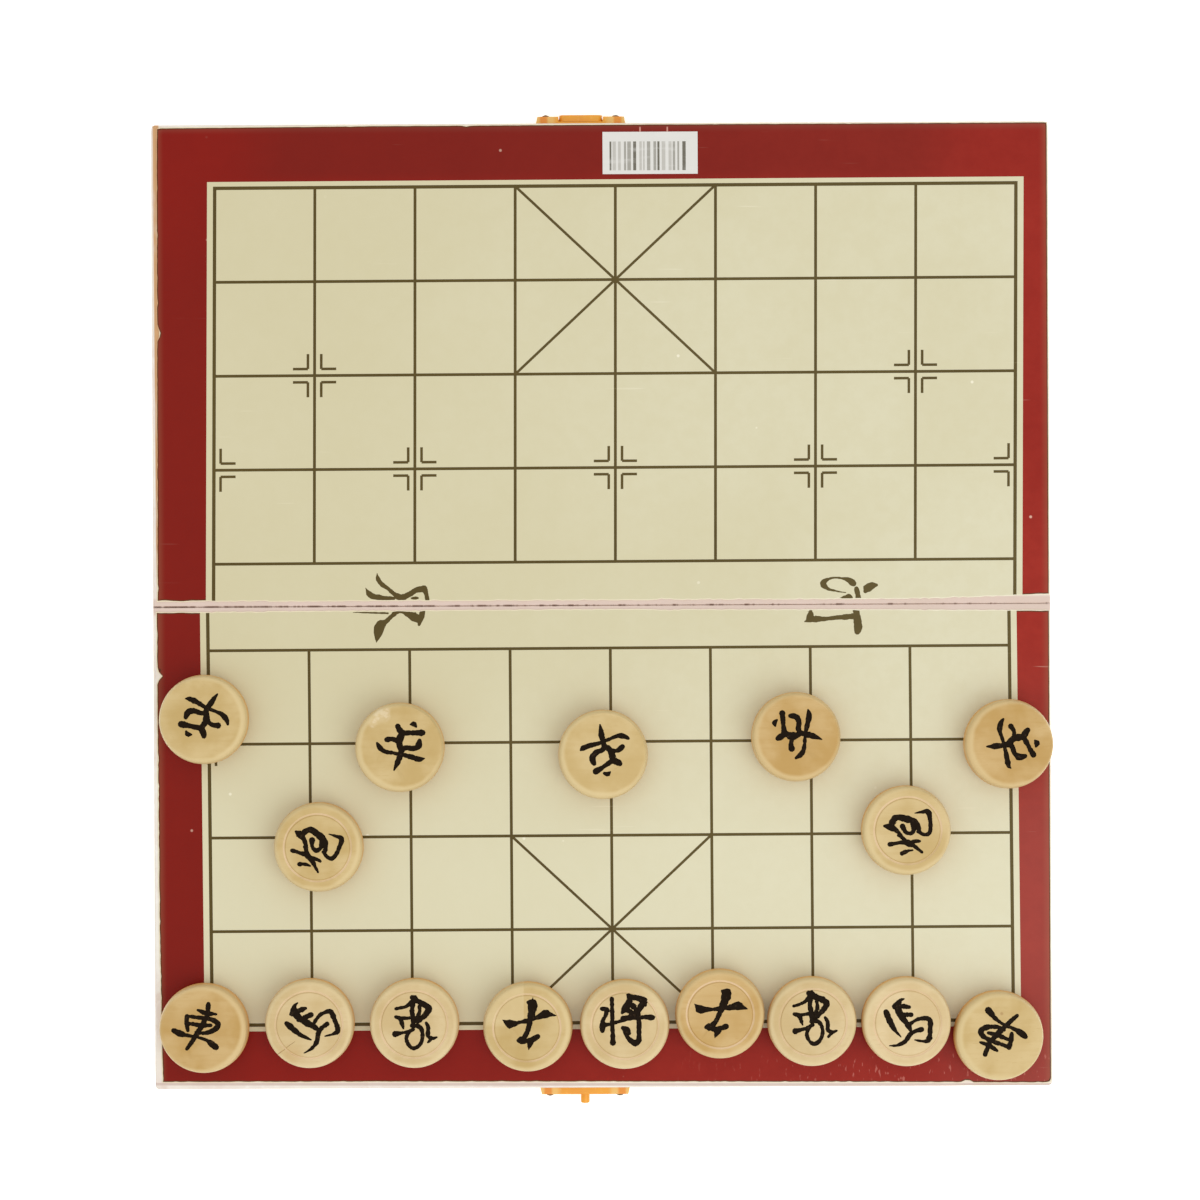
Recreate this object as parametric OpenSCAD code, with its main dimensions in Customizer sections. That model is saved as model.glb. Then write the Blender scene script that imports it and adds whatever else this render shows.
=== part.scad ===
// Folding chess box, opened flat and laid with its printed board faces up.
// Two shallow trays share a hinge line across the middle of the board. The
// front tray's half of the board carries one side's sixteen round pieces.
// X runs along the hinge line, Y away from the player and Z up.

/* [Box] */
// Width of both trays, along the hinge line
box_w = 270; // [270:1:330]
// Depth of one tray, from the hinge line to the latch side
half_d = 145; // [142:1:175]
// Height of the tray's walls under the board panel
wall_h = 17; // [15:0.5:30]
// Thickness of the walls
wall_t = 8; // [7:0.5:12]
// Thickness of the board panel that closes each tray
panel_t = 2.7; // [2:0.1:5]
// Radius of the panel's rounded upper edges
panel_round = 0.9; // [0.3:0.1:1]
// Gap between the two trays where their backs meet at the hinge line
seam_gap = 0.3; // [0.2:0.05:0.6]
// Gap between the two rims when the box is shut
rim_gap = 0.2; // [0.1:0.05:0.4]
// Fingers in each corner joint, over the wall's height
finger_n = 5; // [3:2:7]
// Glue gap round each finger
glue_gap = 0.04; // [0.02:0.01:0.1]

/* [Printed board] */
// Thickness of the laminated print on each panel
print_t = 0.3; // [0.1:0.1:0.6]
// Bare margin between the print and the panel's edges
print_margin = 1.1; // [1.1:0.1:3]
// Distance between the board's upright lines
pitch_x = 30.2; // [29:0.1:31]
// Distance between the board's cross lines
pitch_y = 28.1; // [28:0.1:29]
// Distance from the hinge line to the first cross line
first_row = 13; // [12:0.5:15]
// How far the front print's lines sit off the middle of the box
grid_off = 2.5; // [0:0.1:2.6]

/* [Pieces] */
// Diameter of a piece at its middle
piece_d = 26.8; // [22:0.1:27]
// Height of a piece
piece_h = 11; // [7:0.5:16]
// Radius of a piece's rounded rims
piece_round = 1.5; // [0.5:0.1:2.5]
// How far a piece's side swells at its middle
piece_swell = 0.4; // [0.1:0.1:1]
// Diameter of the ring turned into the face of the higher pieces
ring_d = 20; // [10:0.5:20]
// Width of that ring's groove
ring_w = 0.5; // [0.3:0.1:1]
// Depth of that ring's groove
ring_deep = 0.3; // [0.2:0.1:0.6]

/* [Hinges] */
// Distance of each hinge's middle from the middle of the box
hinge_x = 85; // [40:1:100]
// Length of each hinge
hinge_l = 25; // [20:0.5:40]
// Thickness of a leaf, let in flush with the rim
leaf_t = 0.6; // [0.4:0.1:0.7]
// Reach of a leaf over the rim
leaf_reach = 6.4; // [5.8:0.1:6.6]
// Radius of the rolled knuckles
knuckle_r = 1.1; // [1.05:0.05:1.3]
// Radius of the hinge pins
pin_r = 0.5; // [0.4:0.05:0.6]
// Running clearance round the pins
pin_gap = 0.05; // [0.02:0.01:0.08]
// Gap at the ends of each knuckle
knuckle_gap = 0.15; // [0.1:0.05:0.3]
// Clearance of the wood round the knuckles
relief_gap = 0.25; // [0.2:0.05:0.4]
// Radius of a screw's flat head
screw_head_r = 1.6; // [1.3:0.1:1.8]
// Radius of a screw's shank
screw_r = 0.8; // [0.6:0.1:1]
// Length of a screw
screw_l = 7; // [5:0.5:12]
// Clearance round screws, nails and let-in leaves
fit_gap = 0.05; // [0.03:0.01:0.1]
// Length of the cross cut in a screw's head
cross_l = 1.8; // [1.2:0.1:2]
// Width of that cross
cross_w = 0.35; // [0.2:0.05:0.5]
// Depth of that cross
cross_deep = 0.3; // [0.2:0.05:0.5]
// Distance of each screw from the end of its leaf
screw_inset = 5; // [3:0.5:7]

/* [Latch] */
// Place of the latch along the front, from the middle of the box
latch_x = -5.7; // [-40:0.1:40]
// Width of a latch plate at the wall
latch_w = 27.4; // [26:0.1:36]
// Thickness of a latch plate
latch_t = 2.8; // [2.5:0.1:3.2]
// Height of the latch plates
latch_h = 12.4; // [12:0.1:14]
// Distance of the latch plates from the rim
latch_low = 0.6; // [0.3:0.1:1]
// How much each side of a latch plate draws in
latch_slope = 0.6; // [0:0.1:1.5]
// Thickness of the plate behind the flap
latch_floor = 1.3; // [0.9:0.1:1.4]
// Width of the flap
flap_w = 13; // [10:0.1:13.4]
// Thickness of the flap
flap_t = 1.9; // [1.7:0.1:2]
// Length of the flap from its pin
flap_l = 10.6; // [10.6:0.1:11]
// Gap between the flap and the plate behind it
flap_gap = 0.1; // [0.05:0.01:0.2]
// Gap at each side of the flap
flap_side = 0.25; // [0.15:0.05:0.4]
// Width of the flap's own knuckle, between the plate's two lugs
flap_knuckle_w = 6.4; // [5:0.1:8]
// Radius of the flap's knuckle and the lugs
hasp_r = 1; // [0.95:0.05:1.05]
// Radius of the flap's pin
hasp_pin_r = 0.35; // [0.3:0.05:0.4]
// Distance of the flap's pin from the rim
hasp_up = 2; // [1.7:0.1:2.2]
// Distance of the stud from the rim
stud_up = 5; // [4.8:0.1:5.2]
// Radius of the stud
stud_r = 1.35; // [1.1:0.05:1.4]
// Reach of the stud from the wall
stud_reach = 6.4; // [5.6:0.1:6.6]
// Clearance of the flap's slot round the stud
slot_gap = 0.3; // [0.2:0.05:0.35]
// Radius of the flap's two corners
flap_round = 1.5; // [0.5:0.1:3]
// Depth of the pin's hold in each end of the plate
hasp_hold = 2; // [1:0.1:3]
// Width of the bevel round the stud's tip
stud_bevel = 0.3; // [0.1:0.1:0.5]
// Extra room in the slot for the flap's swing
slot_swing = 0.5; // [0.45:0.05:0.55]
// Distance of each nail from the middle of the latch
nail_x = 10.6; // [9.6:0.1:11]
// Distance of the nails from the rim
nail_up = 9.4; // [7:0.1:10]
// Radius of a nail
nail_r = 0.6; // [0.4:0.1:0.8]
// Radius of a nail's domed head
nail_head_r = 1.5; // [1.2:0.1:1.8]
// Height of a nail's domed head
nail_head_h = 0.9; // [0.4:0.1:1.1]
// Length of a nail in the wall
nail_l = 5; // [3:0.5:6]

/* [Hidden] */
ranks = ["general", "advisor_left", "advisor_right", "elephant_left", "elephant_right",
    "horse_left", "horse_right", "chariot_left", "chariot_right", "cannon_left", "cannon_right",
    "soldier_1", "soldier_2", "soldier_3", "soldier_4", "soldier_5"];
$fn = 64;
past = 1; // how far a cutter runs past the face that it opens

// Where each piece was put down on the board: its column and its row from the
// river, with the share of a pitch that it stands off its crossing. The last
// value says whether its face has the turned ring.
places = [
    [4.126, 3.996, true],
    [3.166, 4.018, true],
    [5.070, 3.890, true],
    [2.043, 3.975, true],
    [5.980, 3.975, true],
    [1.007, 3.972, true],
    [6.914, 3.982, true],
    [-0.040, 4.018, false],
    [7.828, 4.135, false],
    [1.103, 2.096, true],
    [6.921, 1.947, true],
    [-0.030, 0.733, false],
    [1.911, 1.039, false],
    [3.924, 1.125, false],
    [5.834, 0.947, false],
    [7.940, 1.032, false]];
middle_column = 4;

rim_z = knuckle_r + rim_gap / 2;
board_z = wall_h + panel_t + print_t;
back_y = seam_gap / 2;
latch_y = back_y + half_d;
finger_h = wall_h / finger_n;
knuckle_l = hinge_l / 3;
leaf_y = knuckle_r + knuckle_gap;
screw_y = (leaf_y + back_y + leaf_reach) / 2;
screw_head_h = screw_head_r - screw_r;
hasp_out = latch_floor + flap_gap + flap_t / 2;
stud_dist = hasp_up + rim_gap + stud_up;
slot_r = stud_r + slot_gap;
hasp_window = flap_w + 2 * flap_side;
hasp_pin_l = hasp_window + 2 * hasp_hold;
// how far the shut flap comes down over the stud's plate
flap_cover = flap_l - hasp_up - rim_gap + 2 * flap_side;
// The origin is at the middle of the outline, so the hinge line is off it by
// half the difference in reach between the stud and the flap or its nails
nail_reach = latch_t + nail_head_h;
seam_y = (max(stud_reach, nail_reach) - max(hasp_out + hasp_r, nail_reach)) / 2;

wood = "burlywood";
pale_wood = "wheat";
steel = "silver";
plastic = "orange";

// Places a tray's shape, drawn with Y away from the hinge line and Z up from
// the rim
module on_rear() {
    translate([0, seam_y, rim_z]) children();
}

module on_front() {
    translate([0, seam_y, rim_z]) mirror([0, 1, 0]) children();
}

// Places a latch shape, drawn with Y out from the latch wall's face
module at_latch() {
    translate([latch_x, latch_y, 0]) children();
}

// Board panel with its four upper edges rounded
module panel() {
    translate([-box_w / 2, back_y, wall_h])
    difference() {
        cube([box_w, half_d, panel_t]);
        for (side = [0, 1]) {
            translate([0, side * half_d, panel_t]) edge_cut([1, 0], side, box_w);
            translate([side * box_w, 0, panel_t]) edge_cut([0, 1], side, half_d);
        }
    }
}

// What rounding takes off one upper edge that runs along X or along Y
module edge_cut(along, side, length) {
    turn = side == 0 ? 1 : -1;
    rotate(along[0] == 1 ? [90, 0, 90] : [90, 0, 0])
    translate([0, 0, along[0] == 1 ? -past : -length - past])
    linear_extrude(height = length + 2 * past)
    difference() {
        translate([side == 0 ? -past : -panel_round, -panel_round])
            square([panel_round + past, panel_round + past]);
        translate([turn * panel_round, -panel_round]) circle(r = panel_round);
    }
}

// Printed sheet, laminated on the panel
module print_sheet() {
    translate([-box_w / 2 + print_margin, back_y + print_margin, wall_h + panel_t])
        cube([box_w - 2 * print_margin, half_d - 2 * print_margin, print_t]);
}

// Wall along X whose ends are cut for the side walls' fingers
module long_wall(wall_y) {
    difference() {
        translate([-box_w / 2, wall_y, 0]) cube([box_w, wall_t, wall_h]);
        for (side = [-1, 1], i = [1 : 2 : finger_n - 2])
            translate([side * (box_w / 2 - (wall_t + glue_gap - past) / 2),
                wall_y + wall_t / 2, (i + 0.5) * finger_h])
                cube([wall_t + glue_gap + past, wall_t + 2 * past, finger_h + 2 * glue_gap],
                    center = true);
    }
}

// Wall along Y with a finger in each notch of the long walls
module side_wall(side) {
    difference() {
        translate([side * (box_w - wall_t) / 2 - wall_t / 2, back_y, 0])
            cube([wall_t, half_d, wall_h]);
        for (end = [0, 1], i = [0 : 2 : finger_n - 1])
            translate([side * (box_w - wall_t) / 2,
                back_y + end * half_d + (end == 0 ? 1 : -1) * (wall_t + glue_gap - past) / 2,
                (i + 0.5) * finger_h])
                cube([wall_t + 2 * past, wall_t + glue_gap + past,
                    finger_h + (i == 0 || i == finger_n - 1 ? past : 0) * 2], center = true);
    }
}

// Wall at the hinge line: both leaves are let in flush, and its corner is
// hollowed round the knuckles
module hinge_wall() {
    difference() {
        long_wall(back_y);
        for (side = [-1, 1]) {
            translate([side * hinge_x - hinge_l / 2 - fit_gap, -past, -past])
                cube([hinge_l + 2 * fit_gap, past + back_y + leaf_reach + fit_gap, past + leaf_t]);
            translate([side * hinge_x, 0, 0]) along_hinge(hinge_l + 2 * relief_gap)
                cylinder(r = knuckle_r + relief_gap, h = hinge_l + 2 * relief_gap);
            for (end = [-1, 1])
                translate([side * hinge_x + end * (hinge_l / 2 - screw_inset), screw_y, 0])
                    screw(fit_gap);
        }
    }
}

// Lays a rod of the given length on the hinge axis
module along_hinge(length) {
    translate([-length / 2, 0, -rim_gap / 2]) rotate([0, 90, 0]) children();
}

// One leaf, with its own knuckles out of the three on the pin
module leaf(knuckles) {
    difference() {
        union() {
            translate([-hinge_l / 2, leaf_y, 0])
                cube([hinge_l, back_y + leaf_reach - leaf_y, leaf_t]);
            for (k = knuckles)
                leaf_knuckle(k);
        }
        along_hinge(hinge_l + 2 * past)
            cylinder(r = pin_r + pin_gap, h = hinge_l + 2 * past);
        for (end = [-1, 1])
            translate([end * (hinge_l / 2 - screw_inset), screw_y, 0]) screw(fit_gap);
    }
}

module leaf_knuckle(k) {
    low = k == 0 ? 0 : knuckle_gap / 2;
    high = k == 2 ? 0 : knuckle_gap / 2;
    length = knuckle_l - low - high;
    translate([(k - 1) * knuckle_l + (low - high) / 2, 0, 0]) {
        along_hinge(length) cylinder(r = knuckle_r, h = length);
        translate([-length / 2, (pin_r + knuckle_r) / 2, 0])
            cube([length, leaf_y + knuckle_gap - (pin_r + knuckle_r) / 2, leaf_t]);
    }
}

module hinge_pin() {
    along_hinge(hinge_l) cylinder(r = pin_r, h = hinge_l);
}

// Flat-headed screw pointing up from the rim. A gap above zero makes the hole
// for it.
module screw(gap = 0) {
    difference() {
        union() {
            cylinder(r1 = screw_head_r + gap, r2 = screw_r + gap, h = screw_head_h);
            cylinder(r = screw_r + gap, h = screw_l + gap);
            if (gap > 0)
                translate([0, 0, -past]) cylinder(r = screw_head_r + gap, h = past);
        }
        if (gap == 0)
            for (turn = [0, 90])
                rotate(turn) cube([cross_l, cross_w, 2 * cross_deep], center = true);
    }
}

module leaf_screws() {
    for (end = [-1, 1])
        translate([end * (hinge_l / 2 - screw_inset), screw_y, 0]) screw();
}

// Wall at the latch side, drilled for the latch plate's nails
module latch_wall() {
    difference() {
        long_wall(latch_y - wall_t);
        at_latch() nail_holes();
    }
}

// Latch plate with drawn-in sides. Its middle is sunk for the flap, from the
// rim up to the given height
module latch_plate(sunk_h) {
    difference() {
        translate([0, 0, latch_low]) linear_extrude(height = latch_h)
            polygon([[-latch_w / 2, 0], [latch_w / 2, 0],
                [latch_w / 2 - latch_slope, latch_t], [-latch_w / 2 + latch_slope, latch_t]]);
        translate([-hasp_window / 2, latch_floor, 0])
            cube([hasp_window, latch_t, sunk_h]);
        nail_holes();
    }
}

module nail_holes() {
    for (side = [-1, 1])
        translate([side * nail_x, -nail_l - fit_gap, nail_up]) rotate([-90, 0, 0])
            cylinder(r = nail_r + fit_gap, h = nail_l + fit_gap + latch_t + past);
}

// Round-headed nails through the two ends of a latch plate
module latch_nails() {
    ball_r = (nail_head_r * nail_head_r + nail_head_h * nail_head_h) / (2 * nail_head_h);
    for (side = [-1, 1])
        translate([side * nail_x, 0, nail_up]) rotate([-90, 0, 0]) {
            translate([0, 0, -nail_l]) cylinder(r = nail_r, h = nail_l + latch_t + nail_head_h / 2);
            translate([0, 0, latch_t]) intersection() {
                cylinder(r = nail_head_r, h = nail_head_h);
                translate([0, 0, nail_head_h - ball_r]) sphere(r = ball_r);
            }
        }
}

// Lays a rod of the given length on the flap's axis
module along_hasp(length) {
    translate([-length / 2, hasp_out, hasp_up]) rotate([0, 90, 0]) children();
}

// Plate that carries the flap: open behind the flap's knuckle, with a lug at
// each side of it
module flap_plate() {
    window_h = hasp_up + hasp_r + flap_side;
    lug_w = (hasp_window - flap_knuckle_w) / 2 - flap_side;
    difference() {
        union() {
            difference() {
                latch_plate(wall_h);
                translate([-hasp_window / 2, -past, 0]) cube([hasp_window, latch_t + past, window_h]);
            }
            for (side = [-1, 1])
                translate([side * (flap_knuckle_w / 2 + flap_side + lug_w / 2), 0, 0]) {
                    along_hasp(lug_w) cylinder(r = hasp_r, h = lug_w);
                    translate([-lug_w / 2, 0, hasp_up - hasp_r])
                        cube([lug_w, hasp_out, hasp_r + hasp_r]);
                }
        }
        hasp_bore();
    }
}

// Blind bore for the pin through both lugs and into the plate's ends
module hasp_bore() {
    length = hasp_pin_l + 2 * pin_gap;
    along_hasp(length) cylinder(r = hasp_pin_r + pin_gap, h = length);
}

// Flap with its knuckle, drawn as it lies folded up against its plate, and
// the slot that drops over the stud
module flap() {
    difference() {
        union() {
            translate([0, hasp_out + flap_t / 2, hasp_up]) rotate([90, 0, 0])
                linear_extrude(height = flap_t) flap_outline();
            along_hasp(flap_knuckle_w) cylinder(r = hasp_r, h = flap_knuckle_w);
        }
        along_hasp(flap_w + 2 * past)
            cylinder(r = hasp_pin_r + pin_gap, h = flap_w + 2 * past);
        translate([0, hasp_out + flap_t / 2 + past, hasp_up]) rotate([90, 0, 0])
            linear_extrude(height = flap_t + 2 * past) slot_outline();
    }
}

module flap_outline() {
    low = hasp_r + flap_side;
    translate([-flap_w / 2, low]) square([flap_w, flap_l - low - flap_round]);
    translate([-flap_w / 2 + flap_round, low])
        square([flap_w - 2 * flap_round, flap_l - low]);
    translate([-flap_knuckle_w / 2, 0]) square([flap_knuckle_w, low + flap_side]);
    for (side = [-1, 1])
        translate([side * (flap_w / 2 - flap_round), flap_l - flap_round])
            circle(r = flap_round);
}

module slot_outline() {
    near = stud_dist - slot_gap / 2;
    far = stud_dist + slot_gap / 2 + slot_swing;
    translate([0, near]) circle(r = slot_r);
    translate([0, far]) circle(r = slot_r);
    translate([-slot_r, near]) square([2 * slot_r, far - near]);
}

// Plate with the stud that the flap's slot drops over
module stud_plate_shape() {
    latch_plate(flap_cover);
    translate([0, 0, stud_up]) rotate([-90, 0, 0]) {
        cylinder(r = stud_r, h = stud_reach - stud_bevel);
        translate([0, 0, stud_reach - stud_bevel])
            cylinder(r1 = stud_r, r2 = stud_r - stud_bevel, h = stud_bevel);
    }
}

// Points of an arc about a centre, from one angle to another
function arc(centre, radius, from, to, steps) = [
    for (i = [0 : steps])
        let (a = from + (to - from) * i / steps)
        [centre[0] + radius * cos(a), centre[1] + radius * sin(a)]];

// Half outline of a turned piece: flat faces, rounded rims, swelling side
function piece_outline() =
    let (
        side_r = piece_d / 2 - piece_swell,
        half_side = piece_h / 2 - piece_round,
        swell_r = (half_side * half_side + piece_swell * piece_swell) / (2 * piece_swell),
        swell_a = asin(half_side / swell_r))
    concat(
        [[0, 0]],
        arc([side_r - piece_round, piece_round], piece_round, -90, 0, 6),
        arc([piece_d / 2 - swell_r, piece_h / 2], swell_r, -swell_a, swell_a, 8),
        arc([side_r - piece_round, piece_h - piece_round], piece_round, 0, 90, 6),
        [[0, piece_h]]);

// One piece on its crossing of the front half's board
module piece(index) {
    place = places[index];
    color(wood) on_front()
        translate([grid_off + (place[0] - middle_column) * pitch_x,
            first_row + place[1] * pitch_y, board_z])
        difference() {
            rotate_extrude() polygon(piece_outline());
            if (place[2])
                translate([0, 0, piece_h - ring_deep]) rotate_extrude()
                    translate([(ring_d - ring_w) / 2, 0]) square([ring_w, ring_deep + past]);
        }
}

module front_print() {
    color("moccasin") on_front() print_sheet();
}

module rear_print() {
    color("moccasin") on_rear() print_sheet();
}

module front_panel() {
    color(pale_wood) on_front() panel();
}

module rear_panel() {
    color(pale_wood) on_rear() panel();
}

module front_latch_wall() {
    color(pale_wood) on_front() latch_wall();
}

module rear_latch_wall() {
    color(pale_wood) on_rear() latch_wall();
}

module front_hinge_wall() {
    color(pale_wood) on_front() hinge_wall();
}

module rear_hinge_wall() {
    color(pale_wood) on_rear() hinge_wall();
}

module front_left_wall() {
    color(wood) on_front() side_wall(-1);
}

module front_right_wall() {
    color(wood) on_front() side_wall(1);
}

module rear_left_wall() {
    color(wood) on_rear() side_wall(-1);
}

module rear_right_wall() {
    color(wood) on_rear() side_wall(1);
}

module front_leaf(side) {
    color(steel) on_front() translate([side * hinge_x, 0, 0]) leaf([0, 2]);
}

module rear_leaf(side) {
    color(steel) on_rear() translate([side * hinge_x, 0, 0]) leaf([1]);
}

module pin(side) {
    color(steel) on_front() translate([side * hinge_x, 0, 0]) hinge_pin();
}

module front_screws(side) {
    color(steel) on_front() translate([side * hinge_x, 0, 0]) leaf_screws();
}

module rear_screws(side) {
    color(steel) on_rear() translate([side * hinge_x, 0, 0]) leaf_screws();
}

module stud_plate() {
    color(plastic) on_front() at_latch() stud_plate_shape();
}

module stud_nails() {
    color(steel) on_front() at_latch() latch_nails();
}

module hasp_plate() {
    color(plastic) on_rear() at_latch() flap_plate();
}

module hasp_nails() {
    color(steel) on_rear() at_latch() latch_nails();
}

module hasp_flap() {
    color(plastic) on_rear() at_latch() flap();
}

module hasp_pin() {
    color(steel) on_rear() at_latch()
        along_hasp(hasp_pin_l) cylinder(r = hasp_pin_r, h = hasp_pin_l);
}

for (i = [0 : len(ranks) - 1])
    piece(i);
front_print();
rear_print();
front_panel();
rear_panel();
front_latch_wall();
rear_latch_wall();
front_hinge_wall();
rear_hinge_wall();
front_left_wall();
front_right_wall();
rear_left_wall();
rear_right_wall();
front_leaf(-1);  // left_hinge_front_leaf
rear_leaf(-1);  // left_hinge_rear_leaf
pin(-1);  // left_hinge_pin
front_screws(-1);  // left_hinge_front_screws
rear_screws(-1);  // left_hinge_rear_screws
front_leaf(1);  // right_hinge_front_leaf
rear_leaf(1);  // right_hinge_rear_leaf
pin(1);  // right_hinge_pin
front_screws(1);  // right_hinge_front_screws
rear_screws(1);  // right_hinge_rear_screws
stud_plate();
stud_nails();
hasp_plate();
hasp_nails();
hasp_flap();
hasp_pin();
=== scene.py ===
# %% [markdown]
# # A folding xiangqi box
#
# A xiangqi set travels in a flat wooden box. Opened right out and laid face down, its two
# printed backs make one playing board, and the sixteen pieces of one side stand on the near
# half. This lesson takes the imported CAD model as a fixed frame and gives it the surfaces
# that the photograph shows: a laminated print, turned wooden pieces with engraved signs,
# worn board edges, finger-jointed walls, small hinges and a plastic latch.

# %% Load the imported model
import math
import random

import bpy
import numpy as np
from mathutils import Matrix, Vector, noise
from mathutils.geometry import delaunay_2d_cdt


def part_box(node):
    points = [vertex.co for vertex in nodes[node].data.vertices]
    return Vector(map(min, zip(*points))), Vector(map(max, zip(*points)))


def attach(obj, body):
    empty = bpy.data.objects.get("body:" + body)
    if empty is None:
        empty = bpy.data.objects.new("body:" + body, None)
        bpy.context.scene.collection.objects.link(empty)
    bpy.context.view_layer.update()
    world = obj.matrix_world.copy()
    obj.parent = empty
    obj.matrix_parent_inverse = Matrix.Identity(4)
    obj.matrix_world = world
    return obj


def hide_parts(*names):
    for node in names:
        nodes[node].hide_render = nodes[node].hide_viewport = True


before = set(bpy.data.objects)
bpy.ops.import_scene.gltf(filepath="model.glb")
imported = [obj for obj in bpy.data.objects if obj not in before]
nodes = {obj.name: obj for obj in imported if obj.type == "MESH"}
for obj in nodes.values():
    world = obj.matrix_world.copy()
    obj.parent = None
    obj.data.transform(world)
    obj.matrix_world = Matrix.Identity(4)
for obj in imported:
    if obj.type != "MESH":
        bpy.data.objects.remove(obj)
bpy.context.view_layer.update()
mm = 0.001

# %% [markdown]
# ## Shader arithmetic
#
# A finish is a small network of nodes, and most of it is arithmetic on masks. Wiring Math
# nodes by hand hides that arithmetic, so one class wraps an output socket and lets plus,
# minus and times add the nodes. Colours are kept apart, because a Math node turns them grey:
# they go through Mix nodes. Every other node comes from one method. A finish keeps its base
# colour and lays tints over it one after another, each through a mask.

# %% A value that a finish can calculate with
def linear(red, green, blue):
    """A colour as a screen shows it, 0 to 255, in the linear light that a shader needs."""
    parts = [channel / 255 for channel in (red, green, blue)]
    return tuple(((c + 0.055) / 1.055) ** 2.4 if c > 0.04045 else c / 12.92 for c in parts) + (1,)


class Value:
    """One output socket of a node, ready for arithmetic."""

    def __init__(self, graph, socket):
        self.graph = graph
        self.socket = socket

    def __add__(self, other):
        return self.graph.math("ADD", self, other)

    def __sub__(self, other):
        return self.graph.math("SUBTRACT", self, other)

    def __mul__(self, other):
        return self.graph.math("MULTIPLY", self, other)

    def __abs__(self):
        return self.graph.math("ABSOLUTE", self)


# %% A node tree, and one method that makes any node in it
class Graph:
    """A node tree in which nodes are made and wired by one method."""

    def __init__(self, tree):
        self.tree = tree

    def feed(self, socket, value):
        if isinstance(value, Value):
            self.tree.links.new(value.socket, socket)
        else:
            socket.default_value = value

    def node(self, kind, settings, inputs, output=0):
        made = self.tree.nodes.new(kind)
        for name, value in settings.items():
            setattr(made, name, value)
        for name, value in inputs.items():
            self.feed(made.inputs[name], value)
        return Value(self, made.outputs[output])

    def math(self, operation, first, second=0.0):
        return self.node("ShaderNodeMath", {"operation": operation}, {0: first, 1: second})

    def step(self, value, low, high, start=0.0, end=1.0):
        """A smooth step of a value between two limits."""
        inputs = {"Value": value, "From Min": low, "From Max": high, "To Min": start, "To Max": end}
        return self.node("ShaderNodeMapRange", {"interpolation_type": "SMOOTHSTEP"}, inputs)


# %% A finish: one material and its nodes
class Finish(Graph):
    """A material with one Principled shader, whose base colour is built up in layers."""

    def __init__(self, name, **sockets):
        self.material = bpy.data.materials.new(name)
        self.material.use_nodes = True
        super().__init__(self.material.node_tree)
        self.shader = self.tree.nodes["Principled BSDF"]
        self.base = None
        self.set(**sockets)

    def set(self, **sockets):
        for name, value in sockets.items():
            self.feed(self.shader.inputs[name.replace("_", " ")], value)

    def mix(self, factor, first, second):
        """A colour between two others."""
        return self.node("ShaderNodeMix", {"data_type": "RGBA"}, {0: factor, 6: first, 7: second}, output=2)

    def tint(self, mask, colour):
        """Lays a colour over the base, as strongly as the mask says."""
        self.base = self.mix(mask, self.base, colour)

    def done(self):
        self.set(Base_Color=self.base)
        return self.material

    def place(self, scale=(1, 1, 1), turn=0.0, shift=(0, 0, 0)):
        """The surface's own coordinates in metres, turned about Z, then stretched."""
        here = self.node("ShaderNodeTexCoord", {}, {}, output="Object")
        return self.node("ShaderNodeMapping", {"vector_type": "POINT"},
                         {"Vector": here, "Rotation": (0, 0, turn), "Scale": scale, "Location": shift})

    def axis(self, name):
        here = self.node("ShaderNodeTexCoord", {}, {}, output="Object")
        return self.node("ShaderNodeSeparateXYZ", {}, {0: here}, output=name)

    def facing(self, name):
        normal = self.node("ShaderNodeTexCoord", {}, {}, output="Normal")
        return self.node("ShaderNodeSeparateXYZ", {}, {0: normal}, output=name)

    def distance(self, x, y):
        """Distance in plan from a point, in metres."""
        across, along = self.axis("X") - x, self.axis("Y") - y
        return self.math("SQRT", across * across + along * along)

    def cloud(self, where, scale, detail=2.0, roughness=0.5):
        return self.node("ShaderNodeTexNoise", {"noise_dimensions": "3D"},
                         {"Vector": where, "Scale": scale, "Detail": detail, "Roughness": roughness})

    def bump(self, height, strength, distance):
        """A normal from a height, with the height's full reach as a distance in metres."""
        return self.node("ShaderNodeBump", {},
                         {"Height": height, "Strength": strength, "Distance": distance})


def between(first, second, share):
    """A colour on the way from one to another."""
    return tuple(a + (b - a) * share for a, b in zip(first, second))


def tinted(colour, red, green, blue):
    return (colour[0] * red, colour[1] * green, colour[2] * blue, 1)


def new_object(name, data):
    """A new object in the scene, from a mesh, a camera or a lamp."""
    made = bpy.data.objects.new(name, data)
    bpy.context.scene.collection.objects.link(made)
    return made


# %% [markdown]
# ## Camera, light and floor
#
# The photograph was taken from straight above, from a little over a metre, so the sides of
# the pieces show only where they face the middle. The lens length follows from the 361 mm
# that the picture spans at the board's height. The set stands on white under soft light: a
# bright room, brightest straight above, and one wide soft lamp at the near right, which
# makes the right of the board a little paler and lays faint shadows to the far left. The
# films' colours are also painted paler towards the right, a painted sheen of that lamp. The
# floor is an ordinary pale floor to most rays. To the camera and in mirrors it is white.

# %% Camera
board_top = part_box("rear_print")[1].z
hinge_y = (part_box("rear_panel")[0].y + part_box("front_panel")[1].y) / 2
view_height = 1.15
picture_span = 0.3610
sensor = 36.0
camera_roll = math.radians(-0.27)
camera_data = bpy.data.cameras.new("copy_stand")
camera_data.sensor_width = sensor
camera_data.lens = sensor * view_height / picture_span
camera = new_object("copy_stand", camera_data)
camera.location = (-0.5 * mm, hinge_y + 1.6 * mm, board_top + view_height)
camera.rotation_euler = (0, 0, camera_roll)
bpy.context.scene.camera = camera
bpy.context.scene.view_settings.view_transform = "Standard"
print("lens", round(camera_data.lens, 1), "mm, hinge line at", round(hinge_y / mm, 2), "mm")

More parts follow.
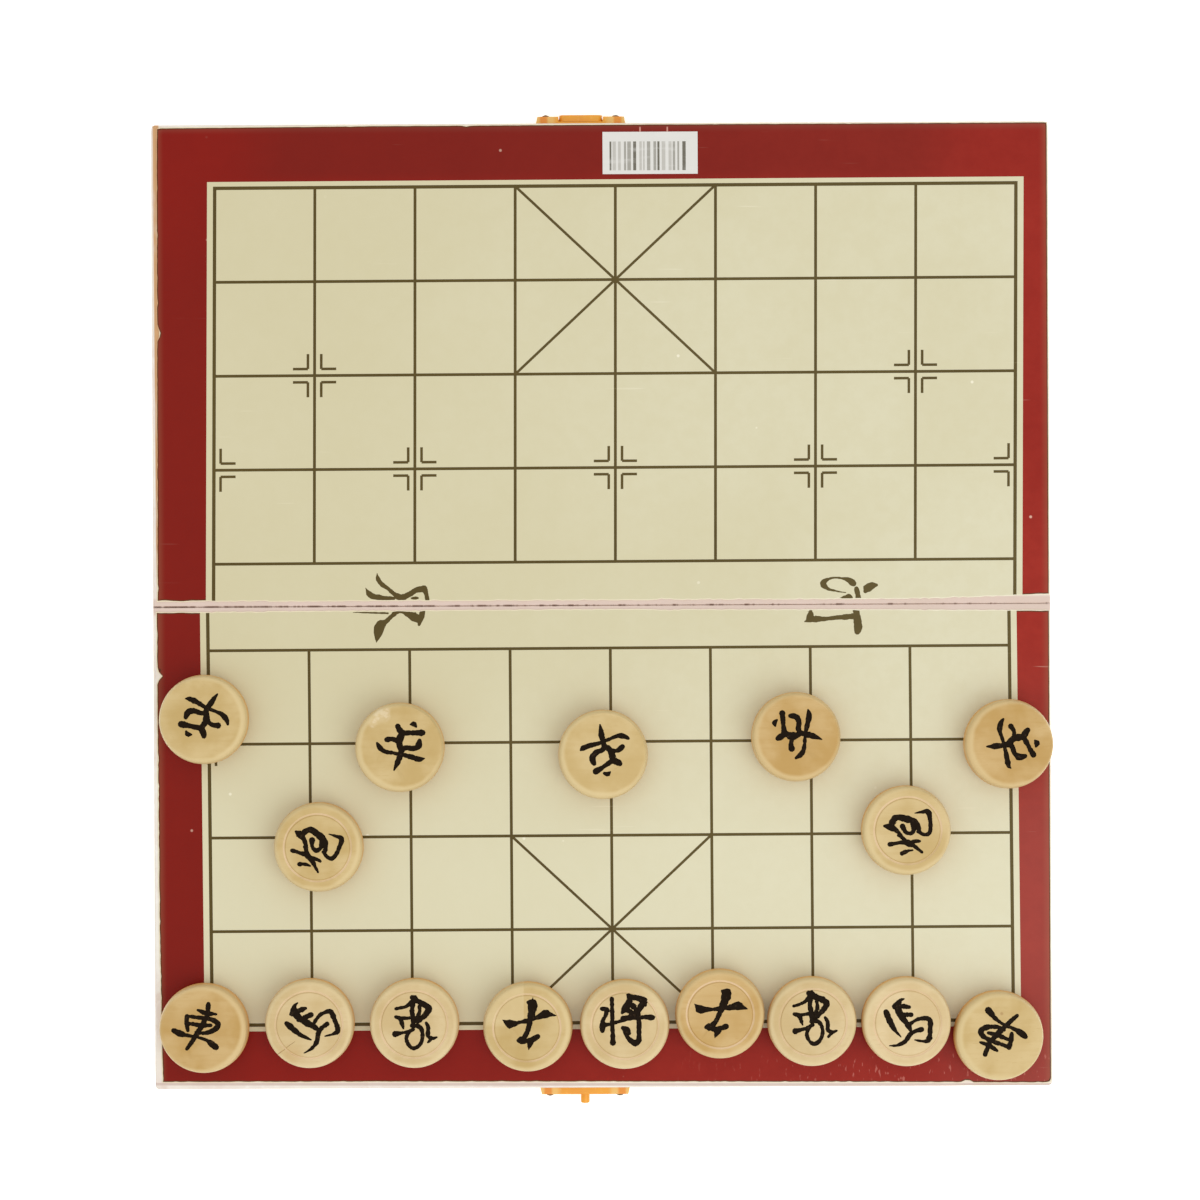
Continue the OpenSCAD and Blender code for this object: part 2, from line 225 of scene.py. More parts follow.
# %% World: bright all round, brightest above
walls_glow, zenith_glow = 0.82, 1.20
world = bpy.data.worlds.new("studio")
world.use_nodes = True
bpy.context.scene.world = world
studio = Graph(world.node_tree)
background = world.node_tree.nodes["Background"]
background.inputs["Color"].default_value = (1, 1, 1, 1)
direction = studio.node("ShaderNodeTexCoord", {}, {}, output="Generated")
steepness = studio.node("ShaderNodeSeparateXYZ", {}, {0: direction}, output="Z")
ceiling = studio.step(steepness, 0.70, 0.97, walls_glow, zenith_glow)
direct = studio.node("ShaderNodeLightPath", {}, {}, output="Is Camera Ray")
glow = studio.node("ShaderNodeMix", {"data_type": "FLOAT"}, {0: direct, 2: ceiling, 3: 1.0})
studio.feed(background.inputs["Strength"], glow)

# %% Soft lamp at the near right
def soft_lamp(name, place, aim, size, radiance):
    """A rectangle of soft light, given by how bright its face looks."""
    data = bpy.data.lights.new(name, "AREA")
    data.shape = "RECTANGLE"
    data.size, data.size_y = size
    data.energy = radiance * math.pi * size[0] * size[1] * math.pi
    lamp = new_object(name, data)
    lamp.location = place
    lamp.rotation_euler = (Vector(aim) - Vector(place)).to_track_quat("-Z", "Y").to_euler()


lamp_place, lamp_size, lamp_glow = (0.57, -0.52, 1.10), (0.75, 1.0), 0.48
soft_lamp("right_softbox", lamp_place, (0, 0, 0), lamp_size, lamp_glow)

# %% Floor
def grid_sheet(name, size, count, z):
    """A flat mesh of count by count squares."""
    places = np.linspace(-size / 2, size / 2, count + 1)
    points = [(x, y, z) for y in places for x in places]
    row = count + 1
    quads = [(j * row + i, j * row + i + 1, (j + 1) * row + i + 1, (j + 1) * row + i)
             for j in range(count) for i in range(count)]
    mesh = bpy.data.meshes.new(name)
    mesh.from_pydata(points, [], quads)
    return new_object(name, mesh)


floor_size, floor_drop = 6.0, 0.2 * mm
plain_tone, white_tone = 0.82, 1.7
floor = grid_sheet("floor", floor_size, 4, -floor_drop)
white = bpy.data.materials.new("white_floor")
white.use_nodes = True
card = Graph(white.node_tree)
card.tree.nodes.remove(card.tree.nodes["Principled BSDF"])
direct = card.node("ShaderNodeLightPath", {}, {}, output="Is Camera Ray")
mirrored = card.node("ShaderNodeLightPath", {}, {}, output="Is Glossy Ray")
plain = card.node("ShaderNodeBsdfDiffuse", {}, {"Color": (plain_tone, plain_tone, plain_tone, 1)})
bright = card.node("ShaderNodeBsdfDiffuse", {}, {"Color": (white_tone, white_tone, white_tone, 1)})
seen = card.math("MAXIMUM", direct, mirrored)
both = card.node("ShaderNodeMixShader", {}, {0: seen, 1: plain, 2: bright})
card.feed(card.tree.nodes["Material Output"].inputs["Surface"], both)
floor.data.materials.append(white)
print("floor", floor.dimensions.x, "m wide")

# %% [markdown]
# ## Brush strokes
#
# The pieces and the river carry the game's own signs, which every xiangqi set has, written
# with a brush. A stroke is a line whose width swells and thins, so each one is a row of
# points with half a width, in hundredths of the sign's height, smoothed by a curve that
# passes through every point. The same strokes serve twice: printed flat on the board, and
# cut into the wood and painted on the pieces.

# %% Strokes of the signs
strokes = {
    "advisor": [
        [(2, 66, 0.4), (8, 60, 4), (14, 55.5, 6.2), (30, 56, 3.2), (48, 57.5, 3.2), (70, 61, 4),
         (84, 65, 6), (94, 62.5, 3.8), (105, 59, 0.4)],
        [(55, 92, 2.5), (63, 89, 7), (61, 76, 6.6), (56, 62, 5), (50, 47, 4), (44, 34, 3.8), (38, 26, 4.6)],
        [(26, 22, 3.4), (32, 22, 5.4), (43, 19, 3.8), (55, 21, 4), (64, 24.5, 4)],
        [(50, 18, 5), (46, 10, 3.8), (43, 2, 0.5)],
    ],
    "soldier": [
        [(56, 98, 1.5), (62, 101, 4), (68, 97.5, 2)],
        [(33.5, 88, 4), (38, 83, 4.8), (46, 78.5, 4.6), (63, 83.5, 3.8), (83, 90, 5.0)],
        [(46, 77, 4.8), (44, 64, 5.2), (47, 54, 4.8), (54, 46, 4.5)],
        [(20, 57, 4.8), (30, 61, 3.6), (42, 60, 3.6)],
        [(82, 74, 3.4), (83, 68, 4.6), (82, 61, 4.8), (73, 54.5, 4.2), (62, 53, 3.8), (56, 50, 3.6)],
        [(4, 45, 2), (12, 38, 4.2), (24, 34, 3.6), (42, 36, 2.8), (60, 38, 3.2), (82, 38, 4.2),
         (94, 39, 3.8), (101, 42.5, 1.2)],
        [(54, 46, 4.4), (54, 34, 4.2), (53, 20, 4.4), (51, 4, 1.2)],
    ],
    "cannon": [
        [(23, 93, 3.6), (25, 78, 3), (26, 62, 4.4), (22, 51, 4.6), (14, 40, 3), (5, 29, 2.2)],
        [(4, 69, 4), (8, 60, 3), (10, 48, 1.6)],
        [(40, 74, 3.4), (32, 64, 3), (25, 57, 3)],
        [(23, 53, 3.6), (27, 43, 3.4), (27, 33, 2.2)],
        [(60, 102, 2.4), (58, 93, 5), (53, 82, 4.4), (42, 71, 2.8), (33, 66, 2)],
        [(60, 88, 5), (70, 84, 4.6), (76, 76, 5), (73, 60, 6), (68, 46, 5.4), (58, 36, 4.2), (44, 32, 3)],
        [(58, 66, 4.6), (46, 60, 3), (43, 50, 3.6), (50, 44, 3.4), (62, 46, 4)],
        [(46, 36, 3), (40, 24, 3), (42, 14, 3.6), (55, 10.5, 3.2), (72, 11, 3.6), (85, 14, 4.4),
         (85, 27, 2.6), (83, 41, 0.8)],
    ],
    "chariot": [
        [(43, 99, 4), (46, 87, 3.8), (48, 74, 4), (46, 56, 4.4), (43, 40, 4.4), (39, 22, 3.8),
         (36, 10, 3.4), (33, -1, 3)],
        [(27, 80, 2.4), (40, 79.5, 3.8), (52, 81, 3.8), (65, 84.5, 2)],
        [(10, 61, 3), (28, 65, 3.6), (48, 70, 3.6), (66, 71, 4.4), (76, 65.5, 4.4), (72, 54, 4.6),
         (62, 45, 3.8), (50, 38.5, 3), (38, 37, 2.6)],
        [(11, 61, 4), (15, 48, 4), (22, 35, 3)],
        [(17, 48, 2.8), (32, 51, 3.6), (48, 55, 3.6), (62, 60, 3)],
        [(-5, 25, 4.2), (8, 23.5, 5), (25, 25, 3), (43, 28, 2.8), (60, 29, 3), (74, 26, 4), (87, 22, 5.4)],
    ],
    "horse": [
        [(33, 85, 2), (42, 88, 3.6), (50, 92, 3), (58, 93, 1.2)],
        [(46, 89, 4.2), (41, 74, 5), (45, 58, 5.2), (52, 40, 4.2), (54, 30, 3.4)],
        [(35, 82, 3), (50, 80, 4.2), (63, 75, 3)],
        [(38, 67, 3), (53, 62, 3.8), (63, 59, 3.8)],
        [(17, 77, 4.8), (19, 61, 4.8), (23, 42, 3.8), (32, 23, 1.2)],
        [(52, 41, 3), (66, 46, 2.8), (81, 47, 3), (95, 40, 4), (91, 22, 3.6), (83, 3, 4), (72, 3.5, 2.6),
         (57, 10, 1.2)],
        [(75, 26, 4), (62, 26.5, 3.2), (51, 23, 3.8), (38, 12.5, 3.6), (22, 9, 2.6), (6, 12, 0.8)],
    ],
    "elephant": [
        [(44, 97, 4), (49, 94, 5.4), (44, 88, 4), (31, 79.5, 2.6), (13, 75.5, 2.8)],
        [(52, 91, 4.4), (66, 84, 4.6), (76, 75, 5), (68, 62, 4), (54, 51, 4.4)],
        [(46, 84, 3.6), (44, 72, 3.4), (46, 58, 4.4), (46, 44, 3.4)],
        [(58, 80, 3), (58, 68, 3), (53, 58, 3.4)],
        [(13, 60, 3), (22, 56, 3.8), (25, 46, 3.4), (27, 38, 1.4)],
        [(22, 57, 2.6), (34, 57.5, 2.6), (46, 59, 3.4)],
        [(44, 43, 3.4), (56, 42, 3.4), (63, 32, 3.2), (63, 16, 3.2), (56, 4, 3.4), (45, 0, 3),
         (36, 8, 3), (33, 20, 3), (38, 30, 3), (47, 36, 2.4)],
        [(12, 27, 5), (22, 29, 3), (34, 31, 2.8), (46, 37, 2.6)],
        [(71, 48, 2.4), (75, 38, 3.2), (74, 24, 3.2), (82, 19, 3), (91, 21, 1.6)],
        [(82, 19, 3), (74, 11, 2)],
    ],
    "general": [
        [(8, 73, 3), (17, 71, 4), (15, 60, 3.2), (10, 50, 3.2), (9, 38, 4.6), (9, 31, 3.8)],
        [(10, 42, 3.4), (22, 43, 2.8), (36, 47, 2.8), (56, 53, 3.4)],
        [(27, 92, 3.8), (28, 70, 3.4), (28, 46, 3.4), (29, 24, 3.6), (29, 8, 4)],
        [(56, 100, 1.4), (62, 96, 4.4), (76, 93, 4.4), (88, 88, 5), (91, 80, 2.6)],
        [(64, 94, 4.4), (58, 82, 5), (52, 72, 5), (47, 65, 2.6)],
        [(88, 88, 4), (82, 76, 4.6), (74, 66, 4.6), (62, 58, 3.6), (52, 52, 2.6)],
        [(60, 82, 4.4), (68, 78, 4.6), (72, 72, 3)],
        [(56, 70, 4), (64, 67, 3.6)],
        [(48, 55, 4), (66, 55, 3.6), (88, 56.5, 3.6), (105, 56, 4.4)],
        [(78, 64, 4), (79, 44, 3.8), (79, 24, 4), (78, 11, 4.6), (71, 7, 4.6), (61, 14, 3.6),
         (51, 26, 1.6)],
        [(48, 36, 4.2), (56, 31, 5.6), (60, 26, 3)],
    ],
    "river_left": [
        [(-13, 44, 0.3), (0, 43.6, 0.9), (20, 43, 1.1), (37, 42.3, 1.3)],
        [(21.5, 100, 0.3), (23, 91, 2.8), (28, 84.5, 3.2), (37, 78, 2.8), (46, 70, 3), (56, 65, 4.2),
         (67, 69, 3.4), (77, 75, 3.6), (89, 77.5, 4)],
        [(89, 78, 3.6), (92, 70, 3), (94, 60, 2.6)],
        [(87, 48, 3.2), (85, 37, 4), (81.5, 26, 2.2)],
        [(5, 79, 0.3), (10, 71, 3.4), (17, 66.5, 4), (30, 64.5, 2.8), (45, 63.5, 2.4)],
        [(71, 64, 1.4), (76, 64, 2), (80, 64, 1.2)],
        [(59, 45, 3), (68, 40, 4), (77, 36, 5), (83, 33, 4)],
        [(20, 0.5, 0.3), (22.5, 13, 5), (26, 25, 6.2), (34, 30, 3.4), (42, 38, 2.8), (50, 44, 2.8),
         (60, 46, 2.8)],
    ],
    "river_right": [
        [(77, 82, 4.4), (70, 87, 3), (58, 90, 1.4), (47, 90, 1.4), (38, 87, 2.4), (33.5, 81, 4.2),
         (41, 74.5, 2), (51, 71.5, 1.2), (66, 69, 0.5)],
        [(54, 59.5, 0.7), (64, 62, 2.4), (71, 63, 3.6), (73.5, 58.5, 2)],
        [(81.5, 74.5, 3), (83, 67, 3.4), (84, 59, 3)],
        [(110, 79.5, 2), (103, 78.5, 4.8), (97, 75, 5.4), (94, 71, 3)],
        [(80.5, 44, 4.4), (82, 31, 4.8), (83.5, 20, 5.4), (82, 12.5, 4)],
        [(78, 35.5, 3.8), (65, 34, 3.2), (50, 33, 2.8), (36, 31.5, 2.8), (23, 31.5, 3.8), (14, 30, 3),
         (7, 28, 0.8)],
        [(15.5, 43, 2.8), (15, 37, 4.2), (13, 31, 4)],
    ],
}
print("signs:", len(strokes), "strokes:", sum(len(sign) for sign in strokes.values()))

# %% [markdown]
# A curve through the points gives each stroke its centre line, and its two sides follow at
# the half width. Distances to all the strokes are then worked out with arrays at once: a
# point inside any stroke has a positive value there, which both picks the inked faces and
# gives the depth of the cut.

# %% From strokes to outlines
# A course sways by up to a tenth of a millimetre. An outline keeps a least half width at every
# point, and a stroke whose half width stays under the least width has no outline.
def smooth_line(points, pieces=8):
    """A curve through every point, with its width."""
    rows = [np.array(p, float) for p in points]
    rows = [2 * rows[0] - rows[1]] + rows + [2 * rows[-1] - rows[-2]]
    line = []
    for a, b, c, d in zip(rows, rows[1:], rows[2:], rows[3:]):
        for k in range(pieces):
            t = k / pieces
            line.append(0.5 * (2 * b + (c - a) * t + (2 * a - 5 * b + 4 * c - d) * t * t
                               + (3 * b - a - 3 * c + d) * t ** 3))
    line.append(rows[-2])
    return np.array(line)


sway = 0.10
least_brush = 0.25
least_width, point_width = 0.00008, 0.00002
quarters = (math.pi / 4, math.pi / 2, 3 * math.pi / 4)


def wavering(line, unit, seed):
    """A hand-cut stroke: its width and its course waver a little."""
    for row in line:
        place = Vector((row[0] * 0.11, row[1] * 0.11, seed))
        rough = 0.26 * noise.noise(place * 1.7) + 0.24 * noise.noise(place * 6.1)
        row[2] = max(row[2] * (1 + rough), least_brush)
        row[0] += noise.noise(place + Vector((7, 0, 0))) * sway * mm / unit
        row[1] += noise.noise(place + Vector((0, 7, 0))) * sway * mm / unit
    return line


def placed_strokes(sign, height, turn, centre, thick, seed):
    """Strokes of a sign in metres, turned clockwise about its middle."""
    cos, sin = math.cos(-turn), math.sin(-turn)
    unit = height / 100
    lines = []
    for number, points in enumerate(strokes[sign]):
        line = smooth_line([(x, y, width * thick) for x, y, width in points])
        line = wavering(line, unit, seed + number * 3.7)
        x = (line[:, 0] - 50) * unit
        y = (line[:, 1] - 50) * unit
        lines.append(np.column_stack([centre[0] + x * cos - y * sin, centre[1] + x * sin + y * cos,
                                      line[:, 2] * unit]))
    return lines


def stroke_outline(line, inset=0.0):
    """Closed outline of a stroke, with round ends. An inset draws it in."""
    width = line[:, 2] - inset
    if width.max() < least_width:
        return []
    width = np.maximum(width, point_width)
    along = np.gradient(line[:, :2], axis=0)
    along /= np.linalg.norm(along, axis=1)[:, None] + 1e-12
    across = np.column_stack([-along[:, 1], along[:, 0]])
    left = line[:, :2] + across * width[:, None]
    right = line[:, :2] - across * width[:, None]
    far = [line[-1, :2] + width[-1] * (math.cos(a) * across[-1] + math.sin(a) * along[-1])
           for a in quarters]
    near = [line[0, :2] + width[0] * (-math.cos(a) * across[0] - math.sin(a) * along[0])
            for a in quarters]
    return [tuple(p) for p in list(left) + far + list(right[::-1]) + near]


def inside_strokes(lines, points):
    """How far each point lies inside the nearest stroke's edge, in metres."""
    best = np.full(len(points), -1.0)
    for line in lines:
        start, end = line[:-1, :2], line[1:, :2]
        run = end - start
        length = (run ** 2).sum(1) + 1e-18
        offset = points[:, None, :] - start[None]
        t = np.clip((offset * run[None]).sum(2) / length[None], 0, 1)
        gap = np.linalg.norm(offset - t[..., None] * run[None], axis=2)
        width = line[None, :-1, 2] + t * (line[1:, 2] - line[:-1, 2])[None]
        best = np.maximum(best, (width - gap).max(1))
    return best


# %% Cutting a flat face along outlines
# Points nearer than this many metres become one, and slivers of less than this area are left out.
join_within, least_area = 1e-7, 1e-14


class Cut:
    """Points and edges that a flat face is to be cut along."""

    def __init__(self):
        self.points = []
        self.edges = []

    def loop(self, points, closed=True):
        first = len(self.points)
        self.points += [Vector((p[0], p[1])) for p in points]
        count = len(points)
        last = count if closed else count - 1
        self.edges += [(first + i, first + (i + 1) % count) for i in range(last)]

    def triangles(self):
        """Corner places and the corners of each triangle, all turned upwards."""
        found = delaunay_2d_cdt(self.points, self.edges, [], 0, join_within)
        places = np.array([tuple(p) for p in found[0]])
        corners = np.array(found[2])
        a, b, c = (places[corners[:, k]] for k in range(3))
        area = (b[:, 0] - a[:, 0]) * (c[:, 1] - a[:, 1]) - (b[:, 1] - a[:, 1]) * (c[:, 0] - a[:, 0])
        corners[area < 0] = corners[area < 0][:, ::-1]
        return places, corners[np.abs(area) > least_area]


# %% [markdown]
# ## The printed board
#
# Each half carries a paper print under a thin satin film, cut a little short of the panel's
# edge. The colours could be one picture on a plain sheet, but here the sheet itself is
# divided along every printed edge, so lines stay sharp from any distance: red border, cream
# field, ink. All the lines of a half are strips on a slightly turned grid, because the print
# wasn't laid quite straight. The maker's words in the border are left out.

# %% Sizes of the print
# Every line is a little off true, as the print was pasted on, so each half has its own pitch along Y,
# first row, shift to the side, lean of the columns, tilt of the rows and narrowing at the hinge line.
pitch_x = 30.13 * mm
line_half = 0.44 * mm
frame_half = 0.52 * mm
thin_half = 0.40 * mm
arm = 4.5 * mm
arm_off = 2.0 * mm
side_margin = 2.3 * mm
latch_margin = 1.9 * mm
field_overlap = 1.0 * mm
pinch_reach = 130 * mm
prints = {
    "rear": {"side": 1, "pitch_y": 28.27 * mm, "first": 13.17 * mm, "shift": 4.13 * mm, "lean": -0.0045,
             "tilt": 0.0023, "pinch": 0.026},
    "front": {"side": -1, "pitch_y": 28.17 * mm, "first": 12.85 * mm, "shift": 2.50 * mm, "lean": 0.0024,
              "tilt": 0.0024, "pinch": 0.037},
}


def strip(a, b, half):
    """The four corners of a straight line with a width."""
    a, b = np.array(a), np.array(b)
    along = (b - a) / np.linalg.norm(b - a)
    across = np.array([-along[1], along[0]]) * half
    return [a + across, a - across, b - across, b + across]


def in_strips(strips, points):
    """Which points lie in any of the four-cornered strips."""
    inside = np.zeros(len(points), bool)
    for corners in strips:
        corners = np.array(corners)
        here = np.ones(len(points), bool)
        for k in range(4):
            edge = corners[(k + 1) % 4] - corners[k]
            offset = points - corners[k]
            here &= edge[0] * offset[:, 1] - edge[1] * offset[:, 0] >= 0
        inside |= here
    return inside


# %% The grid of lines on one half
def board_strips(plan):
    """Every ink line of one half, in metres from the hinge line, before the print is turned."""
    rows = [plan["first"] + k * plan["pitch_y"] for k in range(5)]
    columns = [(k - 4) * pitch_x for k in range(9)]
    side = plan["side"]
    lines = []

    def line(x0, y0, x1, y1, half):
        lines.append(strip((x0, side * y0), (x1, side * y1), half))

    for k, x in enumerate(columns):
        edge = k in (0, 8)
        line(x, 0.0 if edge else rows[0], x, rows[4], frame_half if edge else line_half)
    for k, y in enumerate(rows):
        half, beyond = (frame_half, frame_half) if k == 4 else (line_half, 0.0)
        line(columns[0] - beyond, y, columns[8] + beyond, y, half)
    line(columns[3], rows[2], columns[5], rows[4], thin_half)
    line(columns[5], rows[2], columns[3], rows[4], thin_half)
    stations = [(1, 2), (7, 2), (0, 1), (2, 1), (4, 1), (6, 1), (8, 1)]
    for column, row in stations:
        for right in (-1, 1):
            if not 0 <= column + right <= 8:
                continue
            for up in (-1, 1):
                x = columns[column] + right * arm_off
                y = rows[row] + up * arm_off
                line(x, y, x + right * arm, y, thin_half)
                line(x, y, x, y + up * arm, thin_half)
    return lines, rows, columns


def one_way_round(strips):
    """Strips with their corners in one turning sense."""
    fixed = []
    for corners in strips:
        corners = np.array(corners)
        nxt = np.roll(corners, -1, axis=0)
        area = (corners[:, 0] * nxt[:, 1] - nxt[:, 0] * corners[:, 1]).sum()
        fixed.append(corners if area > 0 else corners[::-1])
    return fixed


def laid(points, plan):
    """Points of the print as it was pasted on: columns lean, rows tilt, the seam end is pinched."""
    points = np.array(points)
    x, y = points[:, 0], points[:, 1]
    pinch = plan["pinch"] * x ** 2 * (1 - abs(y) / pinch_reach)
    return np.column_stack([x - y * plan["lean"] - pinch + plan["shift"], y + x * plan["tilt"] + hinge_y])


# %% Chips along the edges
# Place of each chip from the hinge line's middle, its reach and its depth, in millimetres.
chips = {"front": [(-134.9, -20.8, 1.7, 0.9), (109.3, -145.1, 2.0, 0.5)],
         "rear": [(-134.9, 82.5, 2.6, 0.55), (-40.0, 145.1, 1.6, 0.2)]}


def chip_depth(half, x, y):
    """How deep the nearest chip bites at a point of the rim, in metres."""
    deep = 0.0
    for chip_x, chip_y, reach, depth in chips[half]:
        gap = math.hypot(x / mm - chip_x, (y - hinge_y) / mm - chip_y)
        deep = max(deep, depth * mm * max(0.0, 1 - gap / reach))
    return deep


# %% Where the film ends
# How far each edge of the film stays from the panel's edge, in millimetres, at even steps along
# that edge. The edges run as the outline does, the other way round from a clock, from the near
# left corner.
film_insets = {
    "rear": {"near": (1.4, 1.4, 1.35, 1.3, 1.3, 1.3, 1.3, 1.4, 2.5), "right": (0.2, 0.2),
             "far": (0.2, 0.25, 0.3, 0.4, 0.8), "left": (1.5, 1.4, 1.25, 1.15)},
    "front": {"near": (2.1, 1.9, 1.6, 1.2, 0.7), "right": (0.2, 0.2),
              "far": (1.8, 1.3, 0.9, 1.0, 1.2), "left": (0.85, 1.05, 1.3, 2.1)},
}

# How far each corner of the film is worn in, in millimetres, counted from the near left one,
# how much its edges waver, and how wide the two bands along its edge are: the paper that
# shows under the film, and a brown line of painted shade along the red film's edge.
corner_wear = {"rear": (0.0, 0.0, 0.1, 0.2), "front": (0.0, 0.4, 0.0, 0.0)}
film_wear = {"near": 0.25 * mm, "far": 0.15 * mm, "left": 0.3 * mm, "right": 0.06 * mm}
seam_wear = 0.5 * mm
paper_band = 0.27 * mm
shade_band = 0.60 * mm
film_step = 1.3 * mm
film_flutter = 0.015 * mm
film_grain = 900
film_chip = 1.8


def film_outline(half, wear, band=0.0):
    """The film's outline, or a line within it that is a band's width away. Its edges waver."""
    low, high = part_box(half + "_panel")
    corners = [np.array(c) for c in ((low.x, low.y), (high.x, low.y), (high.x, high.y), (low.x, high.y))]
    edges = ("near", "right", "far", "left")
    points = []
    for k, edge in enumerate(edges):
        a, b = corners[k], corners[(k + 1) % 4]
        length = np.linalg.norm(b - a)
        along = (b - a) / length
        inward = np.array([-along[1], along[0]])
        insets = film_insets[half][edge]
        start = film_insets[half][edges[k - 1]][-1] * mm + band
        stop = film_insets[half][edges[(k + 1) % 4]][0] * mm + band
        count = int(length / film_step)
        for i in range(count):
            run = start + (length - start - stop) * i / count
            inset = np.interp(run / length, np.linspace(0, 1, len(insets)), insets) * mm + band
            here = a + along * run
            place = Vector((here[0], here[1], 0)) * film_grain
            slow = max(0.0, noise.noise(place * 0.35))
            quick = max(0.0, noise.noise(place) - 0.05)
            chipped = film_chip * chip_depth(half, here[0], here[1])
            depth = inset + wear[edge] * (0.6 * slow + quick) + chipped
            depth += film_flutter * noise.noise(place * 2.7)
            if i == 0:
                here = here + (along + inward) * corner_wear[half][k] * mm
            points.append(tuple(here + inward * depth))
    return points


# %% The print sheets
river_signs = {"river_left": -61.6 * mm, "river_right": 70.1 * mm}
river_height = 21.0 * mm
river_y = hinge_y - 0.5 * mm
river_thick = 1.1
cream_slot, red_slot, ink_slot, shade_slot, paper_slot = range(5)


def print_sheet(half):
    """The print of one half, cut along every printed edge."""
    plan = prints[half]
    low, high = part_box(half + "_print")
    strips, rows, columns = board_strips(plan)
    strips = one_way_round([laid(s, plan) for s in strips])
    side = plan["side"]
    left, right = columns[0] - side_margin, columns[8] + side_margin
    near, far = -side * field_overlap, side * (rows[4] + latch_margin)
    field = one_way_round([laid([(left, near), (right, near), (right, far), (left, far)], plan)])[0]
    wear = film_wear | {"far" if side < 0 else "near": seam_wear}
    outline, paper_line, shade_line = (film_outline(half, wear, band)
                                       for band in (0.0, paper_band, shade_band))
    lines = [line for number, (sign, x) in enumerate(river_signs.items())
             for line in placed_strokes(sign, river_height, 0.0, (x, river_y), river_thick, 50.0 + number)]
    cut = Cut()
    for loop in (outline, paper_line, shade_line):
        cut.loop(loop)
    for corners in strips:
        cut.loop(corners)
    cut.loop(field)
    for line in lines:
        cut.loop(stroke_outline(line))
    points, corners = cut.triangles()
    middle = points[corners].mean(1)
    keep = in_outline(np.array(outline), middle)
    corners, middle = corners[keep], middle[keep]
    ink = in_strips(strips, middle) | (inside_strokes(lines, middle) > 0)
    cream = in_strips([field], middle)
    finish = np.where(ink & cream, ink_slot, np.where(cream, cream_slot, red_slot))
    # Red faces near the film's edge take the brown of a painted shade line.
    finish[~in_outline(np.array(shade_line), middle) & (finish == red_slot)] = shade_slot
    finish[~in_outline(np.array(paper_line), middle)] = paper_slot
    return sheet_mesh(half + "_print_film", points, corners, finish, low.z, high.z)


def in_outline(outline, points):
    """Which points lie within a closed outline."""
    inside = np.zeros(len(points), bool)
    x, y = points[:, 0], points[:, 1]
    for a, b in zip(outline, np.roll(outline, -1, axis=0)):
        crosses = (a[1] > y) != (b[1] > y)
        with np.errstate(divide="ignore", invalid="ignore"):
            at = a[0] + (y - a[1]) * (b[0] - a[0]) / (b[1] - a[1])
        inside ^= crosses & (x < at)
    return inside


def sheet_mesh(name, points, corners, finish, bottom, top):
    """A thin sheet: the cut face on top, its copy below, and a rim between them."""
    used = np.unique(corners)
    index = -np.ones(len(points), int)
    index[used] = np.arange(len(used))
    points, corners = points[used], index[corners]
    count = len(points)
    places = [(x, y, top) for x, y in points] + [(x, y, bottom) for x, y in points]
    faces = [tuple(c) for c in corners] + [tuple(c[::-1] + count) for c in corners]
    slots = list(finish) + list(finish)
    owner = {}
    for face, slot in zip(corners, finish):
        for a, b in ((face[0], face[1]), (face[1], face[2]), (face[2], face[0])):
            owner[(a, b)] = slot
    for (a, b), slot in owner.items():
        if (b, a) not in owner:
            faces.append((b, a, a + count, b + count))
            slots.append(slot)
    mesh = bpy.data.meshes.new(name)
    mesh.from_pydata(places, [], faces)
    mesh.polygons.foreach_set("material_index", [int(s) for s in slots])
    flat_map(mesh)
    mesh.update()
    return new_object(name, mesh)


def flat_map(mesh):
    """A plan view of the mesh as its map, so that every face has its own place."""
    layer = mesh.uv_layers.new(name="OFBake")
    xyz = np.array([v.co[:] for v in mesh.vertices])
    low, size = xyz.min(0), np.ptp(xyz, axis=0).max()
    for loop in mesh.loops:
        p = (xyz[loop.vertex_index] - low) / size
        layer.data[loop.index].uv = (p[0], p[1])


# %% [markdown]
# The film is a soft-gloss laminate over ink. Its colour wanders a little, it has pale specks
# of dust and short fine scratches, and a faint orange-peel surface that breaks up the
# reflection of the lamp. Cream, red, ink and the two bands along its edge differ only in
# colour, so one function makes them all.

# %% Laminate finish
def laminate(name, colour, sheen_right_colour, darker, speck_colour, specks):
    """Laminate over ink of one colour, painted paler towards the right: a painted sheen of the lamp at the
    right.
    """
    film = Finish(name, Specular_IOR_Level=0.12)
    here = film.place()
    # The colour turns paler towards the right: a painted sheen of the lamp at the right.
    across = film.step(film.axis("X"), -0.12, 0.15)
    wander = film.cloud(here, 14.0, 3.0)
    mottle = film.cloud(here, 260.0, 3.0, 0.6)
    film.base = darker
    film.tint(film.step(wander, 0.35, 0.65) * 0.35 + 0.65, film.mix(across, colour, sheen_right_colour))
    film.tint(film.step(mottle, 0.3, 0.7) * 0.2, darker)
    dots = {"Vector": here, "Scale": 170.0}
    dust = film.node("ShaderNodeTexVoronoi", {"feature": "F1"}, dots)
    chosen = film.node("ShaderNodeTexVoronoi", {"feature": "F1"}, dots, output="Color")
    lucky = film.node("ShaderNodeSeparateColor", {}, {0: chosen})
    speck = film.step(dust, 0.10, 0.05) * film.step(lucky, 1 - specks, 1 - specks + 0.01)
    long_way = film.place((40, 900, 1), turn=0.5)
    scratch = film.step(film.cloud(long_way, 1.0, 2.0), 0.70, 0.76)
    patch = film.step(film.cloud(here, 9.0, 1.0), 0.52, 0.62)
    mark = scratch * patch * 0.35 + speck
    film.tint(mark, speck_colour)
    film.set(Roughness=film.cloud(here, 30.0, 2.0) * 0.12 + 0.28 + mark * 0.2)
    peel = film.cloud(here, 420.0, 2.0)
    ripple = film.cloud(here, 40.0, 1.0)
    film.set(Normal=film.bump(peel * 0.4 + ripple * 1.6 - mark * 0.4, 0.35, 0.06 * mm))
    return film


